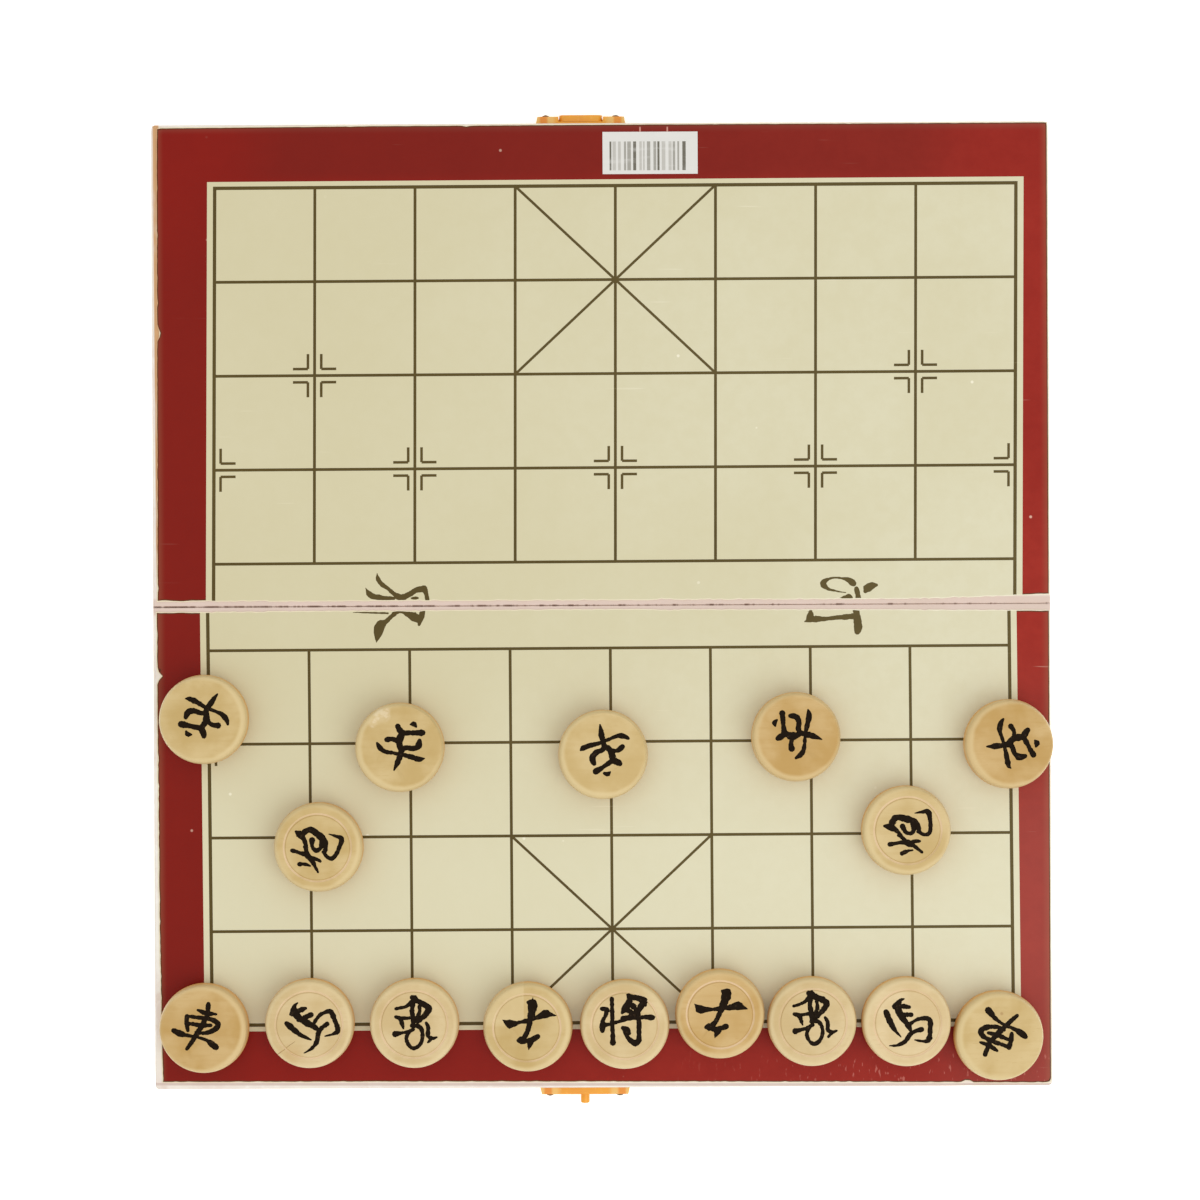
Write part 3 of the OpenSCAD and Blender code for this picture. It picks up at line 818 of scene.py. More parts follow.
def left_rear(finish):
    """A mask for the rubbed strip along the rear half's left edge, where the board shows brown."""
    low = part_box("front_panel")[0]
    x, y = finish.axis("X"), finish.axis("Y") - hinge_y
    rubbed = finish.step(finish.cloud(finish.place((200, 60, 200)), 1.0, 2.0), 0.36, 0.52)
    narrow = finish.step(x, low.x + 2.6 * mm, low.x + 2.0 * mm) * finish.step(y, 2 * mm, 20 * mm)
    return narrow * (rubbed * 0.3 + 0.7)


cream_film = laminate("cream_laminate", linear(210, 202, 167), linear(217, 212, 182),
                      linear(204, 195, 156), linear(236, 230, 205), 0.05)
# The cream is painted paler towards the near edge: painted light that thins the pieces' shade on the near
# half.
nearer = cream_film.step(cream_film.axis("Y"), hinge_y, hinge_y - 90 * mm)
cream_film.tint(nearer * 0.38, linear(226, 223, 195))
red_film = laminate("red_laminate", linear(135, 20, 6), linear(156, 41, 29),
                    linear(122, 14, 5), linear(214, 170, 150), 0.10)
ink_film = laminate("ink_laminate", linear(90, 75, 36), linear(95, 82, 46),
                    linear(74, 61, 28), linear(150, 140, 100), 0.03)
# The brown of the painted shade line along the red film's edge.
edge_shade_film = laminate("film_edge_shade", linear(98, 46, 16), linear(104, 60, 40),
                      linear(80, 50, 20), linear(160, 130, 90), 0.03)
paper_film = laminate("paper_edge_line", linear(232, 222, 190), linear(236, 230, 206),
                      linear(222, 206, 178), linear(246, 240, 224), 0.03)
paper_film.tint(left_rear(paper_film) * 0.9, linear(202, 152, 108))

# %% Wear, painted shade and painted sheen on the red border
# A greyish bloom lies along the far edge and fine scratches at the near right. The left side is
# painted darker, a painted shade away from the lamp, and the far border is darker too. The
# outermost edges are dull, and the near right is painted paler, a painted sheen of the lamp.
# One dark nick lies at the left below the hinge line, and two pale ones above the sticker.
across = red_film.axis("X")
from_hinge = red_film.axis("Y") - hinge_y
from_far = red_film.axis("Y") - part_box("rear_panel")[1].y
bloom = red_film.step(from_far, -3.2 * mm, -0.4 * mm)
red_film.tint(bloom * 0.25, linear(140, 100, 82))
short_way = red_film.place((1000, 300, 1), turn=0.12)
ticks = red_film.step(red_film.cloud(short_way, 1.0, 2.0), 0.62, 0.70)
corner = red_film.step(from_hinge, -129 * mm, -138 * mm) * red_film.step(across, 10 * mm, 90 * mm)
red_film.tint(ticks * corner * 0.5, linear(208, 130, 118))
# Painted shade: the left of the red border is darker, away from the lamp.
left_painted_shade = red_film.step(across, -100 * mm, -124 * mm) * red_film.step(from_far, -8 * mm, -60 * mm)
red_film.tint(left_painted_shade * 0.30, linear(106, 22, 8))
far_dark = red_film.step(from_far, -20 * mm, -14 * mm) * red_film.step(abs(across), 118 * mm, 90 * mm)
red_film.tint(far_dark * 0.34, linear(92, 24, 14))
dulled = red_film.math("MAXIMUM", red_film.step(across, -131.0 * mm, -133.9 * mm),
                       red_film.step(across, 131.8 * mm, 134.9 * mm))
red_film.tint(dulled * 0.28, linear(158, 112, 82))
# A painted sheen of the lamp: the red is paler at the near right.
low_right_painted_sheen = red_film.step(across, 90 * mm, 132 * mm) * red_film.step(from_hinge, -5 * mm, -75 * mm)
red_film.tint(low_right_painted_sheen * 0.16, linear(180, 122, 112))
dark_nick = red_film.step(red_film.distance(-133.2 * mm, hinge_y - 18.9 * mm), 0.7 * mm, 0.35 * mm)
red_film.tint(dark_nick * 0.8, linear(66, 44, 26))
for nick_x in (12.2 * mm, 20.4 * mm):
    beside = red_film.step(abs(across - nick_x), 0.30 * mm, 0.12 * mm)
    beside = beside * red_film.step(abs(from_far + 2.1 * mm), 1.0 * mm, 0.6 * mm)
    red_film.tint(beside * 0.7, linear(224, 168, 150))

# %% Two films on the board
# The finishes stand in the order in which print_sheet numbers them.
films = [film.done() for film in (cream_film, red_film, ink_film, edge_shade_film, paper_film)]
for half in ("rear", "front"):
    film = print_sheet(half)
    for material in films:
        film.data.materials.append(material)
    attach(film, half)
    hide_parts(half + "_print")
    print(film.name, len(film.data.polygons), "faces")

# %% [markdown]
# ## The sticker
#
# A white paper sticker lies on the far border, with a strip of printed bars. Here the bars are
# plain and mean nothing: a simple rule sets each one's width and greyness. The sticker is one
# thin sheet, cut along the bars, and it is a little proud of the film, so it has an edge that
# catches the light.

# %% Sticker
sunk, proud = 0.02 * mm, 0.08 * mm


def sticker_sheet():
    """The sticker, cut along its bars. White is finish 0, and the bars are 1 to 3."""
    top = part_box("rear_print")[1].z
    left, right, near, far = (0.9 * mm, 29.5 * mm, hinge_y + 129.7 * mm, hinge_y + 142.4 * mm)
    bar_near, bar_far = near + 1.1 * mm, far - 2.9 * mm
    cut = Cut()
    cut.loop([(left, near), (right, near), (right, far), (left, far)])
    bars = []
    x, last_x = left + 2.1 * mm, right - 4.5 * mm
    while x < last_x:
        number = len(bars)
        width = (0.55 + 0.65 * ((number * 5) % 7) / 7) * mm
        bars.append((x, x + width, (1, 3, 2, 3, 2)[(number * 3) % 5]))
        x += width + (0.35 + 0.3 * ((number * 4) % 3)) * mm
    for start, stop, _ in bars:
        cut.loop([(start, bar_near), (stop, bar_near), (stop, bar_far), (start, bar_far)])
    points, corners = cut.triangles()
    x, y = points[corners].mean(1).T
    finish = np.zeros(len(corners), int)
    for start, stop, shade in bars:
        finish[(x > start) & (x < stop) & (y > bar_near) & (y < bar_far)] = shade
    return sheet_mesh("paper_sticker", points, corners, finish, top - sunk, top + proud)


def sticker_paper(name, colour):
    """Matt paper of one colour, rubbed a little."""
    paper = Finish(name, Specular_IOR_Level=0.15)
    fibres = paper.cloud(paper.place(), 1600.0, 3.0)
    rubbed = paper.step(paper.cloud(paper.place((120, 500, 1)), 1.0, 3.0), 0.5, 0.75)
    paper.base = colour
    paper.tint(fibres * 0.25, tinted(colour, 0.86, 0.86, 0.84))
    paper.tint(rubbed * 0.35, linear(226, 224, 218))
    paper.set(Roughness=fibres * 0.15 + 0.55, Normal=paper.bump(fibres, 0.3, 0.03 * mm))
    return paper.done()


# White paper first, then the dark, the grey and the pale bars, as the sheet numbers them.
papers = {"sticker_white": (222, 220, 214), "sticker_dark_bar": (112, 108, 96),
          "sticker_grey_bar": (164, 161, 152), "sticker_pale_bar": (192, 189, 181)}
sticker = sticker_sheet()
for name, colour in papers.items():
    sticker.data.materials.append(sticker_paper(name, linear(*colour)))
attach(sticker, "rear")
print(sticker.name, len(sticker.data.polygons), "faces")

# %% [markdown]
# ## The board panels
#
# Under each print is a thin panel whose edges stay bare: a pinkish fibreboard, rounded over
# and rubbed by years of opening, with pale dust in its pores and a few small chips. The CAD
# panel is a clean slab, so a worn one takes its place. Its rim is a profile carried round
# the rectangle, and a noise pushes that profile inwards, most of all at the left and along
# the latch edges. Along the hinge line the two rims nearly touch, and the finish draws a
# brown line in the joint between them, partly dirt and partly painted shade in the gap.

# %% A worn panel
# How far the rounding and the wear reach in from each edge, in millimetres, and how the rim is
# divided. Along the hinge line the rim reaches out until the two panels nearly touch.
edge_drop = 0.7 * mm
round_overs = {"seam": 0.28, "latch": 0.6, "left": 0.7, "right": 0.2}
panel_wear = {"seam": 0.05, "latch": 0.12, "left": 0.12, "right": 0.05}
panel_grain = (700, 700, 2500)
corner_cut = 0.45 * mm
seam_reach = 0.14 * mm
top_limit = 0.1 * mm
sharp_edge = math.radians(40)
rim_steps = 5
seam_spacing, edge_spacing = 0.5 * mm, 0.9 * mm


def worn_panel(half):
    """A panel with rounded, worn edges. Its underside is flat."""
    low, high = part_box(half + "_panel")
    edges = {"front": ("latch", "right", "seam", "left"), "rear": ("seam", "right", "latch", "left")}[half]
    corners = [Vector(c) for c in ((low.x, low.y), (high.x, low.y), (high.x, high.y), (low.x, high.y))]
    rim = [(0.0, low.z), (0.0, (low.z + high.z - edge_drop) / 2), (0.0, high.z - edge_drop)]
    rim += [(1 - math.cos(a), high.z - edge_drop * (1 - math.sin(a)))
            for a in [math.pi / 2 * k / rim_steps for k in range(1, rim_steps + 1)]]
    ring = []
    for k in range(4):
        a, b = corners[k], corners[(k + 1) % 4]
        count = int((b - a).length / (seam_spacing if edges[k] == "seam" else edge_spacing))
        inward = Vector((-(b - a).y, (b - a).x)).normalized()
        before = Vector((-(a - corners[k - 1]).y, (a - corners[k - 1]).x)).normalized()
        for i in range(count):
            at_corner = before if i == 0 else None
            ring.append((a + (b - a) * i / count, inward, edges[k], at_corner, edges[k - 1]))
    points, faces = [], []
    for p, inward, edge, before, last in ring:
        for number, (inset, z) in enumerate(rim):
            place = Vector(c * grain for c, grain in zip((p.x, p.y, z), panel_grain))
            wear = panel_wear[edge] * mm
            rough = (max(0.0, noise.noise(place)) + 0.8 * max(0.0, noise.noise(place * 0.25))) * wear
            high_part = min(1.0, max(0.0, (z - high.z + edge_drop * 1.05) / (edge_drop * 0.6)))
            push = rough * high_part + chip_depth(half, p.x, p.y) * high_part
            if number == len(rim) - 1:
                push = min(push, top_limit)
            out = seam_reach if edge == "seam" else 0.0
            q = p + inward * (inset * round_overs[edge] * mm + push - out)
            if before is not None:
                q += before * (inset * round_overs[last] * mm - (seam_reach if last == "seam" else 0.0))
                q += (before + inward) * (0.0 if "seam" in (edge, last) else corner_cut)
            drop = push * 0.35 if 2 < number < len(rim) - 1 else 0.0
            points.append((q.x, q.y, z - drop))
    tall = len(rim)
    count = len(ring)
    for i in range(count):
        j = (i + 1) % count
        for s in range(tall - 1):
            faces.append((i * tall + s, j * tall + s, j * tall + s + 1, i * tall + s + 1))
    faces.append(tuple(i * tall + tall - 1 for i in range(count)))
    faces.append(tuple(i * tall for i in reversed(range(count))))
    mesh = bpy.data.meshes.new(half + "_worn_panel")
    mesh.from_pydata(points, [], faces)
    mesh.polygons.foreach_set("use_smooth", [len(f) == 4 for f in faces])
    mesh.set_sharp_from_angle(angle=sharp_edge)
    mesh.update()
    return new_object(half + "_worn_panel", mesh)


# %% Fibreboard finish
def fibreboard():
    """Pinkish fibreboard: dusty, rubbed brown at the left rear, brown in the joint with dirt and painted
    shade.
    """
    board = Finish("bare_fibreboard", Roughness=0.86)
    here = board.place()
    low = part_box("front_panel")[0]
    x, y, z = board.axis("X"), board.axis("Y"), board.axis("Z")
    from_hinge = y - hinge_y
    fibres = board.cloud(board.place((300, 300, 1800)), 1.0, 4.0, 0.65)
    wander = board.cloud(here, 60.0, 3.0)
    board.base = linear(238, 232, 220)
    board.tint(board.step(wander, 0.35, 0.65), linear(232, 220, 210))
    board.tint(board.step(fibres, 0.45, 0.75) * 0.7, linear(244, 240, 232))
    board.tint(board.step(z, 20.5 * mm, 20.0 * mm) * 0.6, linear(222, 200, 184))
    worn = board.step(board.cloud(here, 150.0, 3.0), 0.60, 0.70)
    board.tint(worn * board.step(z, 19.9 * mm, 20.6 * mm) * 0.22, linear(200, 164, 140))
    narrowing = board.step(from_hinge, 145 * mm, 5 * mm, 0.55 * mm, 1.0 * mm)
    band = left_rear(board) * board.step(x - low.x - narrowing, -0.2 * mm, 0.2 * mm)
    board.tint(band, linear(204, 159, 112))
    pink_line = board.step(abs(y - low.y + x * 0.0052 - 1.0 * mm), 0.50 * mm, 0.30 * mm)
    board.tint(pink_line * 0.8, linear(205, 184, 174))
    at_seam = board.step(abs(from_hinge), 3.0 * mm, 1.8 * mm)
    board.tint(at_seam * 0.9, board.mix(wander, linear(208, 184, 168), linear(222, 200, 188)))
    # Dashes of dark brown along the hinge line: partly dirt, partly painted shade in the gap between the
    # panels.
    dash = board.step(board.cloud(board.place((260, 30, 1)), 1.0, 4.0, 0.65) - x * 0.5, 0.47, 0.60)
    crack = board.step(abs(from_hinge - 0.05 * mm), 0.40 * mm, 0.20 * mm) * dash
    board.tint(crack * board.step(z, 20.2 * mm, 20.7 * mm) * 0.75, linear(112, 66, 40))
    board.set(Normal=board.bump(fibres, 0.5, 0.12 * mm))
    return board.done()


bare_board = fibreboard()
for half in ("rear", "front"):
    panel = worn_panel(half)
    panel.data.materials.append(bare_board)
    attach(panel, half)
    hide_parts(half + "_panel")
    print(panel.name, len(panel.data.polygons), "faces")

# %% [markdown]
# ## Walls
#
# The trays' walls are strips of pale softwood, finger-jointed at the corners, so a long
# wall shows long grain on its face and end grain at its fingers. The CAD walls already have
# that shape and stay. Wood is drawn in three dimensions, stretched along the strip, so that
# face, edge and end agree with each other. The sawn edges get a small bevel, because the
# real ones are sanded.

# %% Softwood finish
def softwood(name, along, tint):
    """Softwood whose grain runs along X or Y, with end grain on the faces across it."""
    wood = Finish(name)
    stretch = {"X": (6, 150, 150), "Y": (150, 6, 150)}[along]
    lines = wood.cloud(wood.place(stretch), 1.0, 5.0, 0.62)
    bands = wood.cloud(wood.place(tuple(s * 0.35 for s in stretch)), 1.0, 2.0)
    fine = wood.cloud(wood.place(tuple(s * 6 for s in stretch)), 1.0, 3.0)
    wood.base = linear(232, 206, 158)
    wood.tint(wood.step(lines, 0.35, 0.72), linear(204, 164, 108))
    wood.tint(wood.step(bands, 0.4, 0.7) * 0.5, tint)
    end = wood.step(abs(wood.facing(along)), 0.6, 0.8)
    pores = wood.step(wood.cloud(wood.place((1400, 1400, 1400)), 1.0, 2.0), 0.45, 0.7)
    wood.tint(end * 0.55, linear(186, 146, 98))
    wood.tint(end * pores * 0.4, linear(140, 100, 62))
    wood.set(Roughness=fine * 0.2 + 0.58, Normal=wood.bump(lines * 0.6 + fine * 0.4, 0.4, 0.1 * mm))
    return wood.done()


join_gap = 0.001 * mm
wall_edge, plastic_edge, nail_edge, hinge_edge = 0.35 * mm, 0.22 * mm, 0.04 * mm, 0.06 * mm


def eased_edges(node, width, finish, segments=2):
    """Joins the CAD faces, rounds their edges over and dresses them."""
    piece = nodes[node]
    weld = piece.modifiers.new("join", "WELD")
    weld.merge_threshold = join_gap
    bevel = piece.modifiers.new("ease", "BEVEL")
    bevel.width = width
    bevel.segments = segments
    bevel.limit_method = "ANGLE"
    bevel.angle_limit = sharp_edge
    even = piece.modifiers.new("even", "WEIGHTED_NORMAL")
    even.keep_sharp = True
    for slot in range(len(piece.material_slots)):
        piece.material_slots[slot].material = finish


long_grain = softwood("softwood_along_x", "X", linear(222, 188, 136))
cross_grain = softwood("softwood_along_y", "Y", linear(226, 196, 146))
grains = {"latch": long_grain, "hinge": long_grain, "left": cross_grain, "right": cross_grain}
for half in ("front", "rear"):
    for wall, grain in grains.items():
        eased_edges(f"{half}_{wall}_wall", wall_edge, grain)
print("walls dressed")

# %% [markdown]
# ## Latch, nails and hinges
#
# The latch is moulded in a clear amber-orange plastic and nailed on with small dark
# round-headed nails. The hinges are thin plated steel leaves on pins. These are metal and
# plastic at a scale where only the broad sheen shows, so each finish is a base colour with
# a slow variation, a slightly uneven surface and some handling marks.

# %% Plastic finish
def amber(name, nails_box):
    """Amber plastic, paler round the nails, where the plate is dished and thin."""
    plastic = Finish(name, IOR=1.49)
    here = plastic.place()
    flow = plastic.cloud(plastic.place((60, 60, 240)), 1.0, 3.0)
    low, high = nails_box
    across = (low.x + high.x) / 2
    apart = (high.x - low.x) / 2 - 0.9 * mm
    from_nail = abs(abs(plastic.axis("X") - across) - apart)
    plastic.base = linear(242, 172, 44)
    plastic.tint(plastic.step(flow, 0.35, 0.7), linear(232, 150, 40))
    dished = plastic.step(from_nail, 4.4 * mm, 2.4 * mm) * plastic.step(from_nail, 0.6 * mm, 1.6 * mm)
    plastic.tint(dished * 0.7, linear(240, 204, 124))
    plastic.tint(plastic.step(from_nail, 1.5 * mm, 0.7 * mm) * 0.5, linear(226, 128, 40))
    rubbed = plastic.step(plastic.cloud(here, 700.0, 3.0), 0.60, 0.72)
    plastic.tint(rubbed * 0.4, linear(248, 198, 110))
    plastic.set(Roughness=plastic.cloud(here, 300.0) * 0.2 + 0.24 + rubbed * 0.15)
    plastic.set(Normal=plastic.bump(plastic.cloud(here, 500.0, 2.0), 0.25, 0.08 * mm))
    return plastic.done()


# %% Plated steel finish
def steel(name, bright, dull, roughness):
    """Brushed steel with soft stains."""
    metal = Finish(name, Metallic=1.0)
    here = metal.place()
    stain = metal.step(metal.cloud(here, 420.0, 4.0, 0.65), 0.45, 0.7)
    brushed = metal.cloud(metal.place((300, 4000, 4000)), 1.0, 2.0)
    metal.base = bright
    metal.tint(stain * 0.4, dull)
    metal.set(Roughness=brushed * 0.18 + roughness + stain * 0.08)
    metal.set(Normal=metal.bump(brushed + stain * 0.4, 0.2, 0.03 * mm))
    return metal.done()


stud_plastic = amber("amber_stud_plate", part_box("stud_nails"))
flap_plastic = amber("amber_flap_plate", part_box("hasp_nails"))
bright_steel = steel("plated_steel", linear(212, 205, 190), linear(150, 138, 116), 0.26)
dark_steel = steel("nail_steel", linear(104, 88, 66), linear(52, 42, 30), 0.40)
plates = {"stud_plate": stud_plastic, "hasp_plate": flap_plastic, "hasp_flap": flap_plastic}
for node, plastic in plates.items():
    eased_edges(node, plastic_edge, plastic, 3)
for node in ("stud_nails", "hasp_nails", "hasp_pin"):
    eased_edges(node, nail_edge, dark_steel)
for side in ("left", "right"):
    for part in ("front_leaf", "rear_leaf", "pin", "front_screws", "rear_screws"):
        eased_edges(f"{side}_hinge_{part}", hinge_edge, bright_steel)
print("latch and hinges dressed")

# %% [markdown]
# ## The pieces
#
# A piece is a turned disc of pale wood: flat faces, rounded rims and a gently swelling
# side. The higher pieces have a ring turned into the face. The sign is cut about a quarter
# of a millimetre deep and painted black, and it is cut here too, so that its walls catch
# the light as real ones do. The face is divided along the ring and the strokes, and then
# each point is lowered by how deep it lies inside them. The side is turned from the same
# profile as the CAD solid.

# %% Sizes of a piece
# Lengths are in metres, but a ring's radii and depths are in millimetres. The ring is off the
# middle by a share of the face's own shift.
piece_r = 13.4 * mm
piece_side_r = 13.0 * mm
rim_round = 1.5 * mm
face_r = piece_side_r - rim_round
piece_height = 11.0 * mm
around = 96
ring_radii = [(9.48, 0.0), (9.72, 0.26), (9.98, 0.26), (10.32, 0.0)]
ring_share = 0.4
# Radii of the ring's painted shade line and painted highlight line.
ring_shade_r, ring_highlight_r = 9.66 * mm, 10.05 * mm
cut_depth = 0.26 * mm
cut_slope = 0.30 * mm
sign_height = 15.6 * mm
sign_thick = 1.25
crack_slope, crack_depth = 0.06 * mm, 0.25 * mm
out_of_round = 0.0045
sharp_rim = math.radians(24)
rim_waver = 1.2 * mm


def circle(radius, centre, count=around):
    return [(centre[0] + radius * math.cos(2 * math.pi * k / count),
             centre[1] + radius * math.sin(2 * math.pi * k / count)) for k in range(count)]


def side_profile():
    """Radius and height up the side, from the lower face's rim to the upper one's."""
    half = piece_height / 2 - rim_round
    swell = piece_r - piece_side_r
    swell_r = (half ** 2 + swell ** 2) / (2 * swell)
    limit = math.asin(half / swell_r)
    quarter = [math.pi / 2 * k / 5 for k in range(6)]
    low = [(face_r + rim_round * math.sin(a), rim_round * (1 - math.cos(a))) for a in quarter]
    middle = [(piece_r - swell_r * (1 - math.cos(a)), piece_height / 2 + swell_r * math.sin(a))
              for a in [limit * (k - 3) / 3 for k in range(1, 6)]]
    high = [(r, piece_height - z) for r, z in reversed(low)]
    return low + middle + high


# %% The engraved face and the turned side
def ring_depth(radius):
    """Depth of the turned ring at each radius."""
    radii, depths = (np.array(ring_radii) * mm).T
    return np.interp(radius, radii, depths, left=0, right=0)


def turned_piece(name, sign, turn, ringed, size, off, shift, cracks, seed):
    """One piece. Its face, ring and sign lie a little off the middle, as the work left them."""
    lines = placed_strokes(sign, sign_height * size, turn, shift, sign_thick, seed)
    cut = Cut()
    cut.loop(circle(face_r, off))
    ring_off = (off[0] * ring_share, off[1] * ring_share)
    if ringed:
        for radius, _ in ring_radii:
            cut.loop(circle(radius * mm, ring_off))
    for line in lines:
        cut.loop(stroke_outline(line))
        if line[:, 2].max() > cut_slope:
            cut.loop(stroke_outline(line, cut_slope * 0.8))
    for line in cracks:
        cut.loop(stroke_outline(line))
        cut.loop([tuple(p) for p in line[:, :2]], closed=False)
    points, corners = cut.triangles()
    depth = np.clip(inside_strokes(lines, points) / cut_slope, 0, 1) * cut_depth
    if cracks:
        split = np.clip(inside_strokes(cracks, points) / crack_slope, 0, 1) * crack_depth
        depth = np.maximum(depth, split)
    if ringed:
        from_middle = np.hypot(points[:, 0] - ring_off[0], points[:, 1] - ring_off[1])
        depth = np.maximum(depth, ring_depth(from_middle))
    painted = inside_strokes(lines, points[corners].mean(1)) > 0
    places = [(x, y, piece_height - d) for (x, y), d in zip(points, depth)]
    faces = [tuple(int(i) for i in c) for c in corners]
    slots = [1 if p else 0 for p in painted]
    profile = side_profile()
    rings = [find_ring(points, off)]
    for r, z in reversed(profile[:-1]):
        share = max(0.0, (piece_side_r - r) / rim_round) if z > piece_height / 2 else 0.0
        start = len(places)
        for k in range(around):
            a = 2 * math.pi * k / around
            uneven = noise.noise(Vector((math.cos(a) * 2, math.sin(a) * 2, z * 300 + seed)))
            radius_here = r * (1 - out_of_round * (0.5 + 0.5 * uneven))
            places.append((radius_here * math.cos(a) + off[0] * share,
                           radius_here * math.sin(a) + off[1] * share, z))
        rings.append(list(range(start, start + around)))
    for upper, lower in zip(rings, rings[1:]):
        for k in range(around):
            j = (k + 1) % around
            faces.append((upper[k], lower[k], lower[j], upper[j]))
            slots.append(0)
    faces.append(tuple(reversed(rings[-1])))
    slots.append(0)
    mesh = bpy.data.meshes.new(name)
    mesh.from_pydata(places, [], faces)
    mesh.polygons.foreach_set("material_index", slots)
    mesh.polygons.foreach_set("use_smooth", [True] * len(faces))
    mesh.set_sharp_from_angle(angle=sharp_rim)
    mesh.update()
    return new_object(name, mesh)


def find_ring(points, centre):
    """The corners on the face's outer circle, in turning order from the right."""
    offset = points - np.array(centre)
    rim = np.flatnonzero(np.hypot(offset[:, 0], offset[:, 1]) > face_r - 1e-6)
    angle = np.arctan2(offset[rim, 1], offset[rim, 0]) % (2 * math.pi)
    angle[angle > 2 * math.pi - 1e-4] = 0.0
    return [int(i) for i in rim[np.argsort(angle)]]


# %% [markdown]
# The wood is a pale, close-grained one under a thin varnish. The rims are painted a little
# lighter than the face, partly a painted highlight where the round-over catches the light and
# partly the face's varnish darkened by handling. Each disc comes from a different place in
# the plank: its own tone, its own direction of grain. So every piece has its own wood, made
# by one function, and all share one black lacquer.

# %% Turned wood and lacquer
class TurnedWood(Finish):
    """The wood of one piece, whose own middle is the origin of its coordinates."""

    def __init__(self, name, face, rim, side, grain_turn, seed, ringed, off):
        super().__init__(name, Specular_IOR_Level=0.3)
        shift = (seed * 0.31, seed * 0.17, seed * 0.05)
        here = self.place(shift=shift)
        grain = self.cloud(self.place((70, 700, 240), grain_turn, shift), 1.0, 4.0, 0.6)
        cloudy = self.cloud(here, 90.0, 3.0)
        pores = self.cloud(self.place((500, 3000, 900), grain_turn, shift), 1.0, 2.0)
        deeper = tinted(face, 0.86, 0.80, 0.68)
        self.base = deeper
        self.tint(self.step(cloudy, 0.32, 0.68), between(face, linear(246, 228, 190), 0.28))
        self.tint(0.45, face)
        self.tint(self.step(grain, 0.45, 0.75) * 0.30, deeper)
        self.tint(self.step(pores, 0.62, 0.74) * 0.35, deeper)
        radius = self.distance(off[0], off[1])
        touched = self.step(radius, 9.6 * mm, 5.5 * mm)
        self.tint(touched * 0.22, deeper)
        # The rim is painted paler: partly a painted highlight on the round-over, partly turned wood lighter
        # than the handled face.
        edge = self.step(radius + (cloudy - 0.5) * rim_waver, 11.3 * mm, 12.6 * mm)
        self.tint(edge * 0.9, rim)
        if ringed:
            radius = self.distance(off[0] * ring_share, off[1] * ring_share)
            # A painted highlight on the ring's groove, and a painted shade just inside it.
            ring_highlight_mask = self.step(abs(radius - ring_highlight_r), 0.36 * mm, 0.16 * mm)
            self.tint(ring_highlight_mask * self.step(cloudy, 0.30, 0.62, 0.35, 0.85), linear(228, 200, 162))
            ring_shade_mask = self.step(abs(radius - ring_shade_r), 0.30 * mm, 0.12 * mm)
            self.tint(ring_shade_mask * 0.2, tinted(face, 0.62, 0.52, 0.38))
        # The side below the rim is painted a deeper amber: partly the varnished side's own colour, partly
        # painted shade.
        self.tint(self.step(self.axis("Z"), 9.4 * mm, 5.5 * mm), side)
        self.set(Roughness=grain * 0.14 + 0.42)
        self.set(Normal=self.bump(grain * 0.6 + pores * 0.4 + cloudy * 0.4, 0.35, 0.06 * mm))

    def near(self, x, y, inner, outer):
        """A soft round mask about a place on the face, in millimetres."""
        return self.step(self.distance(x * mm, y * mm), outer * mm, inner * mm)


def lacquer():
    """The black paint in the cut signs, worn thin in places."""
    paint = Finish("black_lacquer", Specular_IOR_Level=0.05)
    here = paint.place()
    thin = paint.step(paint.cloud(here, 900.0, 3.0, 0.6), 0.60, 0.78)
    paint.base = linear(27, 17, 6)
    paint.tint(thin * 0.55, linear(86, 66, 44))
    paint.set(Roughness=paint.cloud(here, 500.0) * 0.25 + 0.26)
    paint.set(Normal=paint.bump(paint.cloud(here, 1500.0, 2.0), 0.3, 0.04 * mm))
    return paint.done()


# %% [markdown]
# A few pieces have a history. One horse has a crack that runs in from its rim, and the wood
# beside it has darkened. One soldier's rim is scuffed pale, one chariot shows a small knot,
# and one advisor lies across the border of two growth bands.

# %% Marks of single pieces
# The crack's two ends and half its width outside, in millimetres, and the direction across it.
crack_start, crack_end, crack_half = (-7.9, -7.7), (-4.2, -4.9), 0.16
crack_across = (-0.61, 0.79)


def crack_line():
    """A thin wedge from the rim inwards, wide outside and nothing at its end."""
    share = np.linspace(0, 1, 9)[:, None]
    line = np.array(crack_start) * (1 - share) + np.array(crack_end) * share
    line[:, 0] += np.sin(share[:, 0] * 9) * 0.08
    return np.column_stack([line, crack_half * (1 - 0.75 * share)]) * mm


def horse_marks(wood):
    """Darkened wood beside the crack, and the crack's painted shadow, a dark line over the rounded rim."""
    wood.tint(wood.near(-4.8, -9.0, 0.5, 4.2) * 0.35, linear(192, 152, 92))
    x, y = (wood.axis(name) - start * mm for name, start in zip("XY", crack_start))
    beside = x * crack_across[0] + y * crack_across[1]
    # The crack is cut only in the flat face. Over the rounded rim its dark line is a painted shadow.
    line = wood.step(abs(beside), 0.20 * mm, 0.08 * mm) * wood.near(-8.9, -8.5, 0.9, 1.3)
    wood.tint(line * 0.7, linear(150, 108, 62))


def soldier_marks(wood):
    """A rim scuffed pale."""
    scuff = wood.step(wood.cloud(wood.place((420, 420, 420)), 1.0, 3.0), 0.48, 0.60)
    area = wood.math("MAXIMUM", wood.near(-5.2, 10.2, 1.6, 3.4), wood.near(-7.8, 7.6, 0.8, 2.0))
    wood.tint(area * (scuff * 0.4 + 0.2), linear(232, 214, 178))


def chariot_marks(wood):
    """A small knot."""
    wood.tint(wood.near(0.5, 7.0, 0.2, 0.7) * 0.55, linear(160, 120, 72))


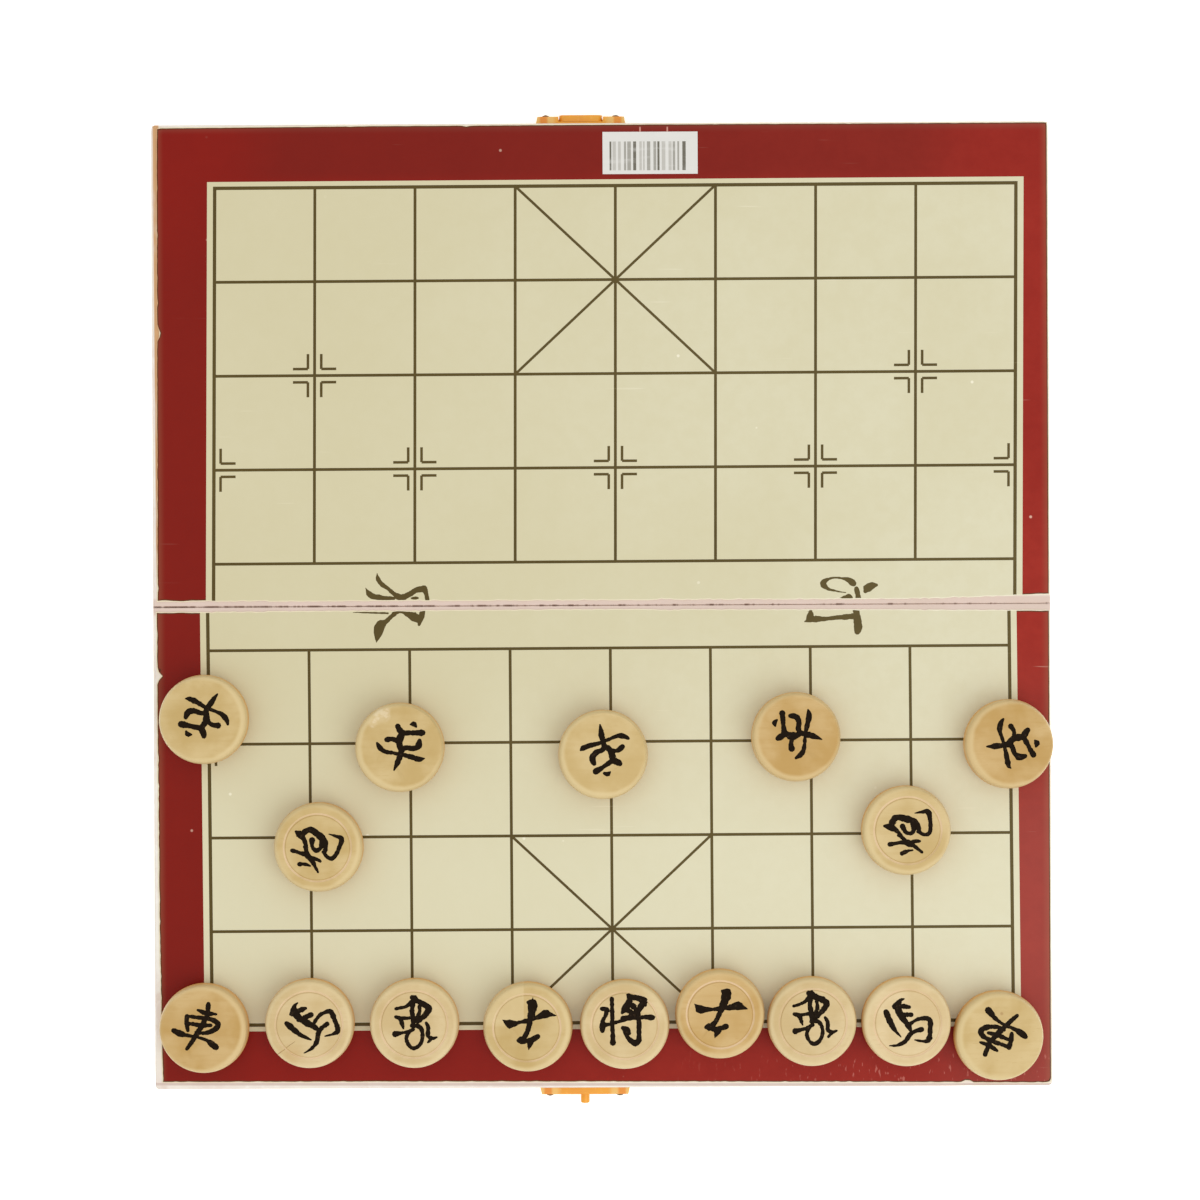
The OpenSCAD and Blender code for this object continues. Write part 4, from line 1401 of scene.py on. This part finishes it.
def advisor_marks(wood):
    """The border of two growth bands."""
    across, along = wood.axis("X") + 1.1 * mm, wood.axis("Y")
    wood.tint(wood.step(across, 0.15 * mm, -0.15 * mm) * wood.step(along, 0.0, 2.5 * mm) * 0.35,
              linear(226, 206, 160))


marks = {"horse_left": horse_marks, "soldier_2": soldier_marks, "chariot_right": chariot_marks,
         "advisor_left": advisor_marks}
cracks = {"horse_left": [crack_line()]}

# %% Which piece shows what
# Its sign and the sign's turn in degrees, the face's colour, whether a ring is turned into it, the
# sign's size, and how far the face and then the sign lie off the middle, in millimetres.
honey, tan, sand = linear(195, 159, 94), linear(200, 173, 114), linear(205, 179, 122)
pale, cream = linear(209, 185, 136), linear(215, 192, 146)
pale_rim_highlight, shaded_amber_side = linear(234, 216, 170), linear(216, 162, 84)
cast = {
    "general": ("general", 0, pale, True, 1.0, (0.1, 0.2), (-0.3, 1.5)),
    "advisor_left": ("advisor", -8, tan, True, 1.0, (-0.5, 0.3), (0.3, 1.15)),
    "advisor_right": ("advisor", 2, honey, True, 1.0, (-0.1, 0.4), (-0.4, 0.7)),
    "elephant_left": ("elephant", 0, pale, True, 1.0, (0.1, 0.2), (0.45, 0.8)),
    "elephant_right": ("elephant", -5, pale, True, 1.0, (0.3, 0.1), (0.4, 1.6)),
    "horse_left": ("horse", -40, pale, True, 1.0, (0.1, 0.0), (0.05, 0.65)),
    "horse_right": ("horse", -15, cream, True, 0.98, (0.3, -0.1), (-0.4, 0.6)),
    "chariot_left": ("chariot", 20, honey, False, 0.95, (-0.7, 0.1), (0.25, 0.55)),
    "chariot_right": ("chariot", 214, tan, False, 0.95, (0.8, 0.0), (-1.25, 1.5)),
    "cannon_left": ("cannon", -65, tan, True, 0.96, (-0.2, 0.2), (0.0, 0.25)),
    "cannon_right": ("cannon", -92, sand, True, 0.96, (0.5, 0.4), (1.05, 0.35)),
    "soldier_1": ("soldier", 210, tan, False, 0.98, (-0.6, 0.2), (1.2, 1.55)),
    "soldier_2": ("soldier", 17, tan, False, 0.98, (0.7, 0.5), (0.4, 0.15)),
    "soldier_3": ("soldier", 165, sand, False, 0.98, (0.5, 0.7), (1.1, 2.3)),
    "soldier_4": ("soldier", -77, honey, False, 0.98, (0.5, 0.6), (0.6, 0.85)),
    "soldier_5": ("soldier", 80, honey, False, 0.98, (0.9, 0.2), (0.0, 0.75)),
}
black = lacquer()
draw = random.Random(27)
for place, (name, (sign, turn, face, ringed, size, off, shift)) in enumerate(cast.items()):
    low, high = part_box(name)
    off, shift = [(x * mm, y * mm) for x, y in (off, shift)]
    piece = turned_piece(name + "_turned", sign, math.radians(turn), ringed, size, off, shift,
                         cracks.get(name, []), place * 11.0)
    grain_turn = draw.uniform(0, math.pi)
    tone = draw.uniform(0.985, 1.015)
    wood = TurnedWood(name + "_wood", tinted(face, tone, tone, tone), between(face, pale_rim_highlight, 0.45),
                      shaded_amber_side, grain_turn, place + 1.0, ringed, off)
    if name in marks:
        marks[name](wood)
    piece.data.materials.append(wood.done())
    piece.data.materials.append(black)
    piece.location = ((low.x + high.x) / 2, (low.y + high.y) / 2, low.z)
    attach(piece, name)
    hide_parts(name)
    print(piece.name, len(piece.data.polygons), "faces")
